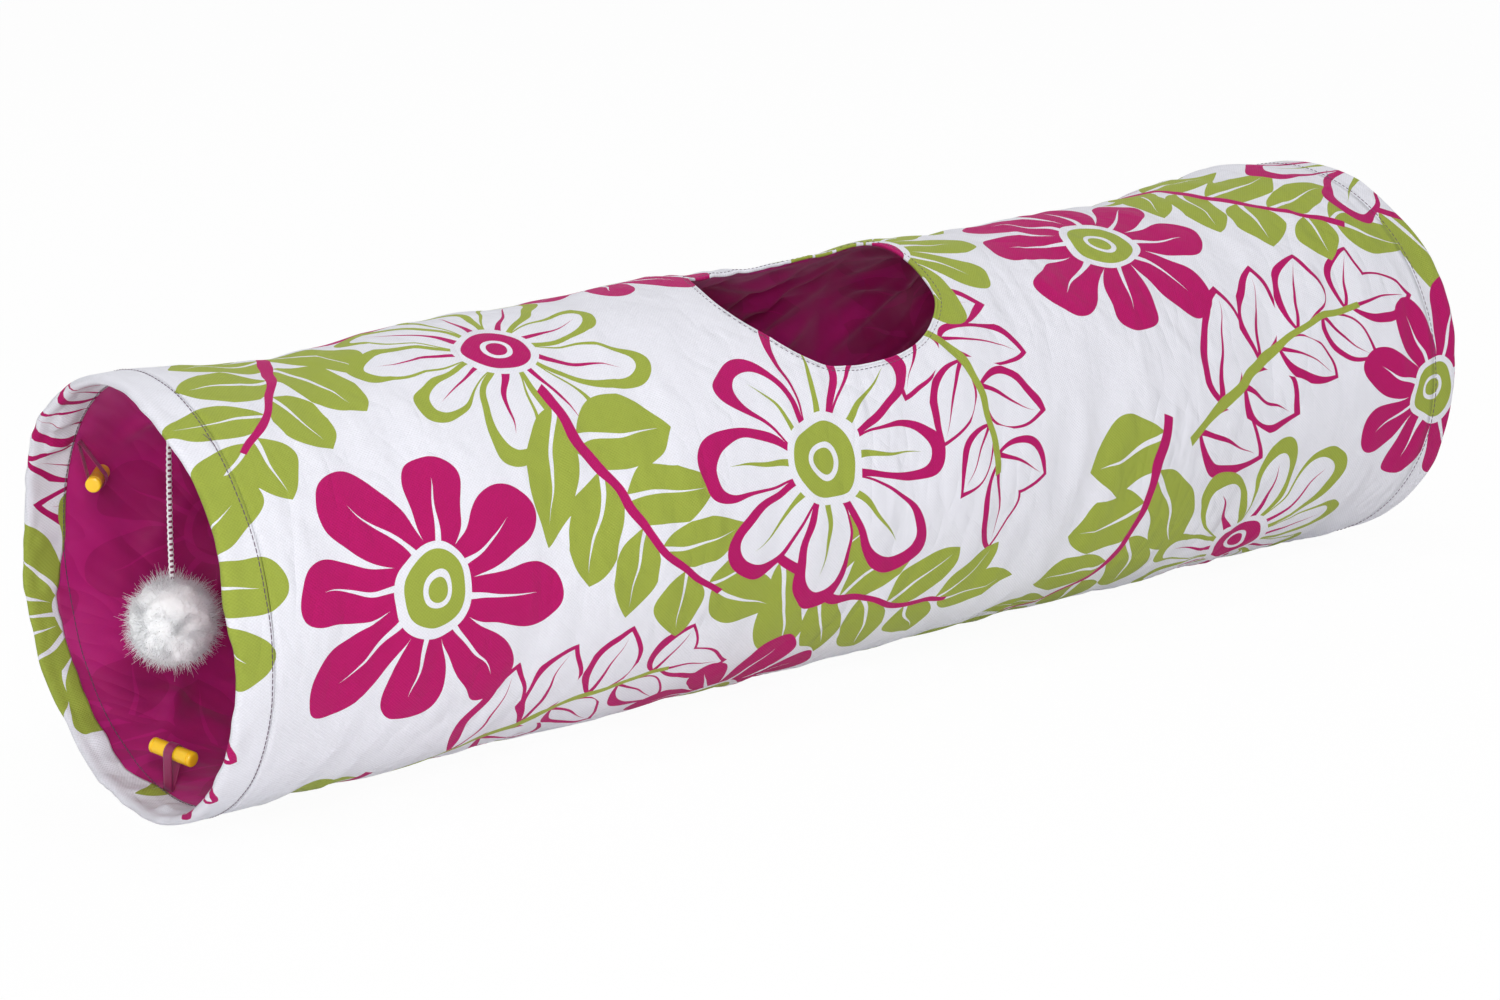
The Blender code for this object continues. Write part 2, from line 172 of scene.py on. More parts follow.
# %% Noise on the round surface
def cloth_noise(x, angle, along, around, seed):
    """Noise with waves of the given lengths in metres along and round the tunnel."""
    x, angle = np.broadcast_arrays(np.asarray(x, float), np.asarray(angle, float))
    turn = body_radius / around
    found = [noise.noise(Vector((a / along + seed, turn * math.sin(b) + seed / 3, turn * math.cos(b))))
             for a, b in zip(x.ravel(), angle.ravel())]
    return np.array(found).reshape(x.shape)


# %% [markdown]
# The peephole is an oval cut in the third bay. Nothing holds its edge, so the cloth droops there.
# The corners of its outline are in millimetres from its middle, along the tunnel and round it.

# %% Peephole outline and droop
hole_angle = math.radians(18)
hole_middle = -0.012
hole_radius = 0.1244
hole_outline = ((-79, 2), (-71, -34), (-55, -54), (-28, -64), (8, -67), (42, -67), (66, -62), (77, -47),
                (77, -12), (74, 12), (69, 31), (54, 48), (34, 60), (6, 66), (-26, 65), (-47, 56), (-63, 38))
facing_width = 0.0013


def closed_curve(corners, steps=24):
    """A smooth closed curve through corner points."""
    corners = np.asarray(corners, float)
    share = (np.arange(steps) / steps)[:, None]
    found = []
    for index in range(len(corners)):
        a, b, c, d = (corners[(index + offset) % len(corners)] for offset in (-1, 0, 1, 2))
        found.append(b + 0.5 * share * (c - a + share * (2 * a - 5 * b + 4 * c - d
                                                         + share * (3 * (b - c) + d - a))))
    return np.concatenate(found)


hole_curve = closed_curve(hole_outline) / 1000
hole_ways = np.arctan2(hole_curve[:, 1], hole_curve[:, 0])
hole_order = np.argsort(hole_ways)
hole_spans = np.hypot(hole_curve[:, 0], hole_curve[:, 1])[hole_order]
hole_ways = hole_ways[hole_order]
print("peephole", np.round(np.ptp(hole_curve, axis=0), 3), "m")


def hole_span(way):
    return np.interp(way, hole_ways, hole_spans, period=2 * math.pi)


def hole_reach(x, angle, grow=0.0):
    """Below 1 inside the peephole, 1 on its edge."""
    along = x - hole_middle
    across = hole_radius * (np.mod(angle - hole_angle + math.pi, 2 * math.pi) - math.pi)
    return np.hypot(along, across) / (hole_span(np.arctan2(across, along)) + grow)


def hole_edge(turns, grow=0.0):
    """Points (x, angle) of the peephole's edge, for shares of a full turn round it."""
    way = 2 * math.pi * np.asarray(turns)
    span = hole_span(way) + grow
    return hole_middle + span * np.cos(way), hole_angle + span * np.sin(way) / hole_radius


# %% [markdown]
# Each wave of the wrinkles is its length along the tunnel, its length round it, and a seed. The drag lines
# and creases are noise folded over at zero, which gives them sharp edges.

# %% Wrinkles of cover and lining
broad_wave = (0.110, 0.060, 3.1)
drag_wave = (0.032, 0.110, 11.7)
crease_wave = (0.046, 0.085, 27.9)
broad_depth = 0.0020
drag_depth = 0.0056
crease_depth = 0.0040
folded_mean = 0.17
hole_droop = 0.0034


def wrinkle(x, angle):
    """Everything that moves cover and lining inwards together."""
    share, width = bay_place(x, angle)
    held = np.sin(math.pi * share) ** 0.8 * smooth(width / 0.08)
    broad = cloth_noise(x, angle, *broad_wave)
    drag = np.abs(cloth_noise(x + 0.20 * angle * body_radius, angle, *drag_wave))
    crease = np.abs(cloth_noise(x - 0.45 * angle * body_radius, angle, *crease_wave))
    edge = hole_reach(x, angle)
    droop = hole_droop * np.exp(-np.maximum(edge - 1, 0) * 3.2) * (1 + 1.6 * broad)
    lift = 0.0020 * np.exp(-((x - 0.070) / 0.022) ** 2 - ((angle + 0.05) / 0.30) ** 2)
    more = 0.75 + 0.5 * smooth((x - 0.05) / 0.25)
    folds = broad_depth * broad + drag_depth * (drag - folded_mean) + crease_depth * (crease - folded_mean)
    return held * (more * folds + droop) - lift


def cover_drop(x, angle):
    return whole_drop(x, angle) + bay_drop(x, angle) + wrinkle(x, angle)


# %% [markdown]
# ## Making a mesh
# Cloth is easier to make from formulas than by hand: a grid of points is laid round the tunnel and joined.
# These helpers turn points and faces into a piece, give it a wall, and keep its object at the origin.

# %% Mesh helpers
def pick_only(item):
    bpy.ops.object.select_all(action="DESELECT")
    item.select_set(True)
    bpy.context.view_layer.objects.active = item


def new_piece(name, points, faces, material, corner_uvs=None):
    mesh = bpy.data.meshes.new(name)
    mesh.from_pydata(np.asarray(points, float).tolist(), [], faces)
    if corner_uvs is not None:
        layer = mesh.uv_layers.new(name="cloth")
        layer.data.foreach_set("uv", np.asarray(corner_uvs, np.float32).ravel())
    mesh.materials.append(material)
    mesh.shade_smooth()
    item = bpy.data.objects.new(name, mesh)
    bpy.context.collection.objects.link(item)
    return item


def give_wall(item, wall, offset=-1.0):
    modifier = item.modifiers.new("wall", "SOLIDIFY")
    modifier.thickness = wall
    modifier.offset = offset
    modifier.use_even_offset = True
    pick_only(item)
    bpy.ops.object.modifier_apply(modifier=modifier.name)


def triangles(item):
    return sum(len(face.vertices) - 2 for face in item.data.polygons)


# %% A sheet wrapped round the tunnel, with the peephole cut out
def cloth_uv(x, angle):
    return (x + half_length) / (2 * half_length), (angle + math.pi) / (2 * math.pi)


def edge_crossing(hole, before, after):
    """The place between two (x, angle) points where the peephole's edge lies."""
    low, high = 0.0, 1.0
    start_inside = hole(*before) < 1
    for _ in range(14):
        middle = (low + high) / 2
        spot = [a + (b - a) * middle for a, b in zip(before, after)]
        if (hole(*spot) < 1) == start_inside:
            low = middle
        else:
            high = middle
    return tuple(a + (b - a) * (low + high) / 2 for a, b in zip(before, after))


def wrapped_faces(columns, around, hole=None):
    """Grid places (x, angle), the faces that join them, and the uv of each face corner."""
    angles = -math.pi + 2 * math.pi * np.arange(around) / around
    grid_x, grid_angle = np.meshgrid(columns, angles, indexing="ij")
    places = list(zip(grid_x.ravel().tolist(), grid_angle.ravel().tolist()))
    inside = np.zeros(grid_x.size, bool) if hole is None else (hole(grid_x, grid_angle) < 1).ravel()
    faces = []
    uvs = []
    cuts = {}
    for column in range(len(columns) - 1):
        for step in range(around):
            after = (step + 1) % around
            corners = [column * around + step, column * around + after,
                       (column + 1) * around + after, (column + 1) * around + step]
            if inside[corners].all():
                continue
            if inside[corners].any():
                kept = []
                for corner, following in zip(corners, corners[1:] + corners[:1]):
                    if not inside[corner]:
                        kept.append(corner)
                    if inside[corner] != inside[following]:
                        edge = (min(corner, following), max(corner, following))
                        if edge not in cuts:
                            cuts[edge] = len(places)
                            places.append(edge_crossing(hole, places[edge[0]], places[edge[1]]))
                        kept.append(cuts[edge])
                corners = kept
            faces.append(corners)
            for corner in corners:
                x, angle = places[corner]
                if after == 0 and angle < 0:
                    angle += 2 * math.pi
                uvs.append(cloth_uv(x, angle))
    return np.array(places), faces, uvs


# %% Faces of a grid
def grid_quads(rows, columns):
    """The squares of a grid, each as four (row, column) corners."""
    return [[(row, column), (row, column + 1), (row + 1, column + 1), (row + 1, column)]
            for row in range(rows) for column in range(columns)]


def grid_faces(quads, rows, columns):
    """Those corners as point numbers. A row or column past the last is the first one again."""
    return [[row % rows * columns + column % columns for row, column in quad] for quad in quads]


def copied(faces, size, copies):
    """The faces of many copies of a small mesh of size points, one copy after the other."""
    return [[copy * size + corner for corner in face] for copy in range(copies) for face in faces]


def unit(vectors):
    return vectors / np.linalg.norm(vectors, axis=-1, keepdims=True)


def outward(angle):
    """The direction straight out of the tunnel."""
    return np.stack([0 * angle, -np.sin(angle), np.cos(angle)], axis=-1)


# %% A tube along a path
def path_frames(path):
    """Two directions across a path, which turn as little as possible along it."""
    along = unit(np.gradient(path, axis=0))
    first = np.zeros_like(path)
    seed = np.array((0.0, 0.0, 1.0)) if abs(along[0][2]) < 0.8 else np.array((0.0, 1.0, 0.0))
    for index, direction in enumerate(along):
        seed = unit(seed - direction * (seed @ direction))
        first[index] = seed
    return first, np.cross(along, first)


def tube(path, radii, sides, twist=0.0):
    """Points, faces and corner uvs of a tube. radii is one radius, or half width and half depth by ring."""
    radii = np.broadcast_to(radii, (len(path), 2))
    first, second = path_frames(path)
    turned = np.broadcast_to(twist, len(path))[:, None]
    first, second = (first * np.cos(turned) + second * np.sin(turned),
                     second * np.cos(turned) - first * np.sin(turned))
    turns = 2 * math.pi * np.arange(sides) / sides
    wide = np.cos(turns)[None, :, None] * radii[:, 0][:, None, None] * first[:, None, :]
    deep = np.sin(turns)[None, :, None] * radii[:, 1][:, None, None] * second[:, None, :]
    points = (path[:, None, :] + wide + deep).reshape(-1, 3)
    gone = np.concatenate([[0], np.cumsum(np.linalg.norm(np.diff(path, axis=0), axis=1))])
    quads = grid_quads(len(path) - 1, sides)
    faces = grid_faces(quads, len(path), sides)
    uvs = [(column / sides, gone[row]) for quad in quads for row, column in quad]
    last = (len(path) - 1) * sides
    faces += [list(range(sides))[::-1], list(range(last, last + sides))]
    uvs += [(0.0, 0.0)] * sides + [(0.0, gone[-1])] * sides
    return points, faces, uvs


# %% [markdown]
# ## Finishes
# Every finish is a node material. What several of them share, such as a weave or a printed flower,
# is a node group with named sockets, built once and placed wherever it is needed.
# A Wire stands for a value in a node tree. Plus, minus, times, divided by, more than and less than each
# add the Math node that does it, so a pattern can be written like the sum it is.

# %% Wires and Math nodes
class Wire:
    def __init__(self, node, output=0):
        self.node = node
        self.output = output

    def __add__(self, other):
        return math_node("ADD", self, other)

    def __sub__(self, other):
        return math_node("SUBTRACT", self, other)

    def __rsub__(self, other):
        return math_node("SUBTRACT", other, self)

    def __mul__(self, other):
        return math_node("MULTIPLY", self, other)

    def __truediv__(self, other):
        return math_node("DIVIDE", self, other)

    def __rtruediv__(self, other):
        return math_node("DIVIDE", other, self)

    def __gt__(self, other):
        return math_node("GREATER_THAN", self, other)

    def __lt__(self, other):
        return math_node("LESS_THAN", self, other)


def tree_of(*values):
    return next(value.node.id_data for value in values if isinstance(value, Wire))


def plug(socket, value):
    if isinstance(value, Wire):
        socket.id_data.links.new(value.node.outputs[value.output], socket)
    else:
        socket.default_value = value


def feed(node, **values):
    """Plug values or wires into a node's named inputs."""
    for label, value in values.items():
        plug(node.inputs[label.replace("_", " ")], value)


def add_node(tree, kind, *values, **settings):
    """A node with its settings, and with values or wires in its first inputs."""
    node = tree.nodes.new("ShaderNode" + kind)
    for label, value in settings.items():
        setattr(node, label, value)
    for socket, value in zip(node.inputs, values):
        plug(socket, value)
    return node


def math_node(operation, *values):
    return Wire(add_node(tree_of(*values), "Math", *values, operation=operation))


def vector_node(operation, *values):
    node = add_node(tree_of(*values), "VectorMath", *values, operation=operation)
    return Wire(node, "Value" if operation == "LENGTH" else "Vector")


# %% Other node helpers
def axes_of(place):
    node = add_node(tree_of(place), "SeparateXYZ", place)
    return [Wire(node, axis) for axis in range(3)]


def mix_colors(share, first, second, blend="MIX"):
    node = add_node(tree_of(share, first, second), "Mix", share, data_type="RGBA", blend_type=blend)
    plug(node.inputs[6], first)
    plug(node.inputs[7], second)
    return Wire(node, 2)


def mottle(place, scale, detail=3.0, output=0):
    """Soft blotches. Output 0 is a value, and output 1 a colour."""
    node = add_node(tree_of(place), "TexNoise")
    feed(node, Vector=place, Scale=scale, Detail=detail)
    return Wire(node, output)


def map_range(value, low, high, to_low, to_high):
    return Wire(add_node(tree_of(value), "MapRange", value, low, high, to_low, to_high))


def bump(height, strength, distance, **below):
    """Normals of a relief, distance metres deep, laid over the normals below it."""
    node = add_node(tree_of(height), "Bump")
    feed(node, Height=height, Strength=strength, Distance=distance, **below)
    return Wire(node)


def new_material(name, **values):
    """A material and its shader. A value that is the same all over goes on the shader's own socket."""
    material = bpy.data.materials.new(name)
    material.use_nodes = True
    shader = material.node_tree.nodes["Principled BSDF"]
    feed(shader, **values)
    return material, shader


# %% Groups
nowhere = (0.0, 0.0, 0.0)
black = (0.0, 0.0, 0.0, 1.0)
white = (1.0, 1.0, 1.0, 1.0)
socket_kinds = {1: "NodeSocketFloat", 3: "NodeSocketVector", 4: "NodeSocketColor"}


def new_group(name, pattern, inputs, outputs):
    """A node group whose outputs are what pattern makes of its inputs."""
    group = bpy.data.node_groups.new(name, "ShaderNodeTree")
    for in_out, sockets in (("INPUT", inputs), ("OUTPUT", outputs)):
        for label, value in sockets.items():
            kind = socket_kinds[np.size(value)]
            group.interface.new_socket(name=label, in_out=in_out, socket_type=kind).default_value = value
    given = group.nodes.new("NodeGroupInput")
    result = group.nodes.new("NodeGroupOutput")
    for socket, value in zip(result.inputs, pattern(*(Wire(given, label) for label in inputs))):
        plug(socket, value)
    print("group", name, "has", len(group.nodes), "nodes")
    return group


def place_group(group, **values):
    """One wire for each output of a group, placed in the tree that its values come from."""
    node = add_node(tree_of(*values.values()), "Group", node_tree=group)
    feed(node, **values)
    return [Wire(node, output) for output in range(len(node.outputs))]


# %% [markdown]
# ### Weave, creases and specks
# Canvas is a plain weave: each thread goes over one and under the next. Two sets of stripes,
# one along and one across, taken in turn like a chessboard, give the height of the threads.
# A crease is noise, turned, stretched and folded over at its middle, which makes a sharp valley.
# Specks are noise between two colours that lie close together.

# %% Weave, crease and speck groups
def weave_pattern(place, thread):
    stripes = [math_node("SINE", axis / thread * math.pi) for axis in axes_of(place)[:2]]
    height = map_range(stripes[0] * stripes[1], -1.0, 1.0, 0.0, 1.0)
    return height, height * 0.10 + mottle(place, 900.0, 2.0) * 0.18 + 0.82


def crease_pattern(place, turn, stretch):
    mapping = add_node(tree_of(place), "Mapping", vector_type="TEXTURE")
    feed(mapping, Vector=place, Rotation=Wire(add_node(tree_of(turn), "CombineXYZ", 0.0, 0.0, turn)))
    stretched = vector_node("MULTIPLY", Wire(mapping), stretch)
    return [math_node("ABSOLUTE", mottle(stretched, 1.0, 2.0) - 0.5)]


def speck_pattern(place, scale, detail, dark, light):
    speck = mottle(place, scale, detail)
    return mix_colors(speck, dark, light), speck


weave = new_group("Weave", weave_pattern, {"Place": nowhere, "Thread": 0.0009},
                  {"Height": 0.0, "Shade": 1.0})
creases = new_group("Creases", crease_pattern,
                    {"Place": nowhere, "Turn": 0.0, "Stretch": (40.0, 12.0, 1.0)}, {"Height": 0.0})
specks = new_group("Specks", speck_pattern,
                   {"Place": nowhere, "Scale": 400.0, "Detail": 3.0, "Dark": black, "Light": white},
                   {"Color": white, "Height": 0.0})

# %% [markdown]
# ### Printed daisies and leaves
# The cloth is screen printed in magenta and lime. The print here is a plain design of its own: large round
# daisies and leafy sprigs. They lie on one tile of cloth, which repeats along the tunnel with a shift, as
# a printing roller does, and twice round it. A group first measures a place from a motif's own middle.

# %% Tile group
tile_length = 0.560
tile_round = math.pi * body_radius
tile_shift = 0.145


def tile_pattern(place, middle, turn, size):
    x, y, _ = axes_of(vector_node("SUBTRACT", place, middle))
    number = math_node("ROUND", x / tile_length)
    length = x - number * tile_length
    width = math_node("WRAP", y + number * tile_shift, tile_round / 2, -tile_round / 2)
    cosine = math_node("COSINE", turn)
    sine = math_node("SINE", turn)
    return (length * cosine + width * sine) / size, (width * cosine - length * sine) / size


tile = new_group("Tile", tile_pattern, {"Place": nowhere, "Middle": nowhere, "Turn": 0.0, "Size": 0.07},
                 {"Along": 0.0, "Across": 0.0})

# %% [markdown]
# A daisy is drawn in polar coordinates: the angle tells which petal a point is in, and the distances along
# and across that petal tell if ink is there. An open daisy leaves the inside of its petals bare.

# %% Daisy group
petal_fullness = 2.55
petal_lengths = (0.86, 1.04)
eye_rims = (0.280, 0.225, 0.110, 0.075)


def petal_pattern(along, across, fullness):
    """Above 0 inside a petal of length 1, narrow at its root and round at its tip."""
    along = math_node("MAXIMUM", along, 0.0)
    rise = math_node("POWER", along, 0.75)
    fall = math_node("SQRT", math_node("MAXIMUM", 1.0 - math_node("POWER", along, 5.0), 0.0))
    return [rise * fall * fullness - math_node("ABSOLUTE", across)]


def daisy_pattern(place, below, ground, middle, turn, size, hollow, ink, petals, eye_ink):
    along, across = place_group(tile, Place=place, Middle=middle, Turn=turn, Size=size)
    reach = math_node("SQRT", along * along + across * across)
    angle = math_node("ARCTAN2", across, along)
    sector = 2 * math.pi / petals
    number = math_node("ROUND", angle / sector)
    lean = angle - number * sector
    chance = add_node(tree_of(turn), "TexWhiteNoise", noise_dimensions="1D")
    feed(chance, W=math_node("FLOORED_MODULO", number, petals) + turn)
    far = reach / map_range(Wire(chance, "Value"), 0.0, 1.0, *petal_lengths)
    along = far * math_node("COSINE", lean)
    across = far * math_node("SINE", lean)
    full = petal_fullness / petals
    outer, = place_group(petal, Along=along, Across=across, Fullness=full)
    inner, = place_group(petal, Along=along * 1.16 - 0.03, Across=across * 1.30 + 0.020, Fullness=full)
    color = mix_colors(outer > 0.004, below, ink)
    color = mix_colors((inner > 0.012) * hollow, color, ground)
    vein = (0.80 - along) * 0.045 - math_node("ABSOLUTE", across)
    color = mix_colors(vein > 0.0, color, mix_colors(hollow, ground, eye_ink))
    for rim, rim_ink in zip(eye_rims, (ground, eye_ink, ground, eye_ink)):
        color = mix_colors(reach < rim, color, rim_ink)
    return [color]


motif_inputs = {"Place": nowhere, "Below": white, "Ground": white, "Middle": nowhere, "Turn": 0.0,
                "Size": 0.08, "Open": 0.0, "Ink": black}
petal = new_group("Petal", petal_pattern, {"Along": 0.0, "Across": 0.0, "Fullness": 0.3}, {"Depth": 0.0})
daisy = new_group("Daisy", daisy_pattern, {**motif_inputs, "Petals": 8.0, "Eye Ink": black}, {"Color": white})

# %% [markdown]
# A sprig has a bent stem and leaves on both sides by turns. A point is led to the leaf it is nearest to,
# and measured along and across that leaf.

# %% Sprig group
leaf_pitch = 0.46
leaf_length = 0.62
tip_length = 0.60
lean_cosine = 0.62
lean_sine = 0.785


def leaf_pattern(along, across):
    """Masks of a leaf of length 1 that is pointed at both ends: all of it, its inside, and its rib."""
    inside = along > 0.0
    along = math_node("MINIMUM", math_node("MAXIMUM", along, 0.0), 1.0)
    belly = math_node("POWER", along, 0.85) * (1.0 - along)
    away = math_node("ABSOLUTE", across)
    depth = belly * 1.12 - away
    rib = (0.86 - along) * 0.034 - away
    return depth > 0.004, depth > across * 0.16 + 0.078, (rib > 0.0) * inside


def sprig_pattern(place, below, ground, middle, turn, size, hollow, ink, bend, stem_ink):
    along, across = place_group(tile, Place=place, Middle=middle, Turn=turn, Size=size)
    across = across - along * along * bend
    away = math_node("ABSOLUTE", across)
    slid = along + math_node("SIGN", across) * (leaf_pitch / 4)
    number = math_node("ROUND", (slid - away * (lean_cosine / lean_sine)) / leaf_pitch)
    number = math_node("MINIMUM", math_node("MAXIMUM", number, -2.0), 1.0)
    ahead = slid - number * leaf_pitch
    length = leaf_length - number * 0.09
    sides = place_group(leaf, Along=(ahead * lean_cosine + away * lean_sine) / length,
                        Across=(away * lean_cosine - ahead * lean_sine) / length)
    tip = place_group(leaf, Along=(along - leaf_length) / tip_length, Across=across / tip_length)
    inked, inside, rib = (math_node("MAXIMUM", *masks) for masks in zip(sides, tip))
    color = mix_colors(inked, below, ink)
    color = mix_colors(inside * hollow, color, ground)
    color = mix_colors(rib * inked, color, mix_colors(hollow, ground, ink))
    on_stem = (away < 0.030 - along * 0.010) * (along < 0.70) * (along > -1.15)
    return [mix_colors(on_stem, color, stem_ink)]


leaf = new_group("Leaf", leaf_pattern, {"Along": 0.0, "Across": 0.0},
                 {"Inked": 0.0, "Inside": 0.0, "Rib": 0.0})
sprig = new_group("Sprig", sprig_pattern, {**motif_inputs, "Bend": 0.2, "Stem Ink": black}, {"Color": white})

# %% [markdown]
# Each row of the layout gives a motif, its place on the tile, its turn and its size.
# The last value is the number of petals of a daisy, or the bend of a sprig's stem.

# %% Print group
cotton_white = (0.775, 0.775, 0.850, 1.0)
ink_magenta = (0.430, 0.004, 0.120, 1.0)
ink_lime = (0.310, 0.370, 0.055, 1.0)
motif_layout = (
    ("sprig", ink_lime, ink_magenta, 0, 0.075, 0.035, 2.1, 0.098, 0.22),
    ("sprig", ink_magenta, ink_lime, 1, 0.225, -0.110, -0.3, 0.092, 0.20),
    ("sprig", ink_magenta, ink_lime, 1, 0.515, 0.130, 1.2, 0.090, 0.25),
    ("sprig", ink_lime, ink_magenta, 0, 0.440, -0.135, 0.3, 0.090, -0.20),
    ("daisy", ink_lime, ink_magenta, 1, 0.215, 0.045, 0.5, 0.090, 9),
    ("sprig", ink_lime, ink_magenta, 0, 0.265, 0.185, 0.9, 0.090, -0.25),
    ("daisy", ink_magenta, ink_lime, 0, 0.120, 0.190, 0.2, 0.090, 8),
    ("daisy", ink_magenta, ink_lime, 1, 0.395, 0.160, 0.1, 0.096, 8),
    ("daisy", ink_lime, ink_magenta, 0, 0.520, 0.010, 0.8, 0.082, 9),
    ("daisy", ink_magenta, ink_lime, 0, 0.350, -0.055, 0.4, 0.076, 8),
)
print_wander = 0.018


def print_pattern(place):
    wander = vector_node("SUBTRACT", mottle(place, 22.0, 1.0, 1), (0.5, 0.5, 0.5))
    place = vector_node("ADD", place, vector_node("MULTIPLY", wander, (print_wander, print_wander, 0.0)))
    color = cotton_white
    for kind, ink, other, hollow, x, y, turn, size, last in motif_layout:
        own = {"Petals": last, "Eye Ink": other} if kind == "daisy" else {"Bend": last, "Stem Ink": other}
        color, = place_group(daisy if kind == "daisy" else sprig, Place=place, Below=color,
                             Ground=cotton_white, Middle=(x, y, 0.0), Turn=turn, Size=size, Open=hollow,
                             Ink=ink, **own)
    inked = vector_node("LENGTH", vector_node("SUBTRACT", color, cotton_white[:3])) > 0.05
    return color, inked


printed = new_group("Print", print_pattern, {"Place": nowhere}, {"Color": white, "Ink": 0.0})
print("motifs on one tile of cloth:", len(motif_layout))


# %% [markdown]
# ### Canvas and lining
# The cover is white cotton canvas, dull, with ink that sits in the threads. The lining is a thin magenta
# polyester with a soft sheen. Where light would come through, the cover's print is painted darker into it, as
# a painted shadow.

# %% Cloth materials
cloth_round = 2 * math.pi * body_radius


def uv_place(tree):
    return Wire(add_node(tree, "UVMap", uv_map="cloth"))


def cloth_place(tree):
    """The place on the cloth in metres, from its uv map."""
    centred = vector_node("SUBTRACT", uv_place(tree), (0.0, 0.5, 0.0))
    return vector_node("MULTIPLY", centred, (2 * half_length, cloth_round, 0.0))


def shaded(color, shade):
    grey = Wire(add_node(tree_of(shade), "CombineColor", shade, shade, shade))
    return mix_colors(1.0, color, grey, "MULTIPLY")


def canvas_material():
    material, shader = new_material("printed_canvas", Roughness=0.85, Sheen_Weight=0.03,
                                    Specular_IOR_Level=0.2, Subsurface_Weight=0.35,
                                    Subsurface_Radius=(1.0, 1.0, 1.0), Subsurface_Scale=0.003)
    place = cloth_place(material.node_tree)
    color, _ = place_group(printed, Place=place)
    threads, shade = place_group(weave, Place=place, Thread=0.0010)
    cloudy = map_range(mottle(place, 9.0), 0.3, 0.7, 0.965, 1.0)
    patches = map_range(mottle(place, 8.0, 1.0), 0.40, 0.62, 0.25, 1.0)
    across, = place_group(creases, Place=place, Turn=0.15, Stretch=(40.0, 12.0, 1.0))
    aslant, = place_group(creases, Place=place, Turn=-0.55, Stretch=(34.0, 16.0, 1.0))
    relief = math_node("MULTIPLY_ADD", across + aslant, patches, mottle(place, 70.0, 4.0) * 0.15)
    feed(shader, Base_Color=shaded(color, shade * cloudy),
         Roughness=map_range(threads, 0.0, 1.0, 0.92, 0.78),
         Normal=bump(threads, 0.6, 0.00022, Normal=bump(relief, 1.0, 0.0062)))
    return material


def lining_material():
    material, shader = new_material("lining_cloth", Roughness=0.5, Sheen_Weight=0.25,
                                    Sheen_Tint=(1.0, 0.55, 0.80, 1.0), Specular_IOR_Level=0.3,
                                    Subsurface_Weight=0.5, Subsurface_Radius=(1.0, 0.25, 0.5),
                                    Subsurface_Scale=0.003)
    place = cloth_place(material.node_tree)
    _, ink = place_group(printed, Place=place)
    threads, shade = place_group(weave, Place=place, Thread=0.0006)
    # Painted shadow: the lining's colour is darkened where the cover's print lies, as if light shone through
    # the cloth.
    painted_print_shadow = map_range(ink, 0.0, 1.0, 0.0, 0.45)
    color = mix_colors(painted_print_shadow, (0.520, 0.012, 0.195, 1.0), (0.300, 0.005, 0.095, 1.0))
    relief, = place_group(creases, Place=place, Turn=0.75, Stretch=(28.0, 8.0, 1.0))
    feed(shader, Base_Color=shaded(color, shade),
         Roughness=map_range(mottle(place, 30.0), 0.3, 0.7, 0.42, 0.58),
         Normal=bump(threads, 0.3, 0.0001, Normal=bump(relief, 0.8, 0.0110)))
    return material


canvas = canvas_material()
lining_cloth = lining_material()

# %% [markdown]
# ## String of the pompom
# A white elastic string hangs from the top of the mouth and carries the pompom. It is 3 mm wide, with
# bumpy edges and a row of dark dots along its middle, and twisted in its upper part. It is a free cord,
# so it comes first. The knot holds its top, and its foot goes into the pompom.

# %% String route
knot_middle = np.array((-0.4345, -0.003780, 0.243141))
string_top = np.array((-0.4345, -0.003780, 0.240341))
pompom_middle = np.array((-0.4385, -0.003780, 0.106541))
string_length = 0.108
string_width = 0.003
dot_pitch = 0.0032
dot_half = 0.0007
rib_pitch = 0.0007
shares = np.linspace(0, 1, 15)
string_route = [(string_top[0] - 0.004 * math.sin(math.pi / 2 * share), string_top[1],
                 string_top[2] - string_length * share) for share in shares]


def string_material():
    material, shader = new_material("string_elastic", Roughness=0.7, Sheen_Weight=0.2)
    across, down, _ = axes_of(uv_place(material.node_tree))
    aside = math_node("PINGPONG", across, 0.25) * (2 * string_width)
    ahead = math_node("ABSOLUTE", math_node("WRAP", down, dot_pitch / 2, -dot_pitch / 2))
    dot = math_node("MAXIMUM", aside, ahead) < dot_half
    ribs = math_node("SINE", down * (2 * math.pi / rib_pitch))
    feed(shader, Base_Color=mix_colors(dot, (0.90, 0.89, 0.91, 1.0), (0.20, 0.01, 0.07, 1.0)),
         Normal=bump(ribs, 0.6, 0.0002))
    return material


string_elastic = string_material()


# %% String piece
def string_piece():
    fine = np.linspace(0, 1, 241)
    coarse = np.array(string_route)
    path = np.stack([np.interp(fine, shares, coarse[:, axis]) for axis in range(3)], axis=-1)
    bumpy = 1.08 + 0.14 * np.cos(2 * math.pi * fine * string_length / dot_pitch)
    half = np.stack([np.full_like(fine, string_width / 2 * 0.62), string_width / 2 * bumpy], axis=-1)
    points, faces, uvs = tube(path, half, 14, -1.1 * (1 - smooth(fine / 0.42)))
    item = new_piece("elastic_string", points, faces, string_elastic, uvs)
    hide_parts("pompom_string")
    return item


elastic_string = string_piece()
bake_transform(elastic_string)
print("string", round(string_length, 3), "m long")

# %% [markdown]
# ## Printed cover
# The cover is one canvas tube, 0.8 mm thick. A fine grid follows the spiral bays, so that the turns of the
# wire show as faint ridges. The peephole is cut where the grid crosses its edge. Solidify then adds the wall.

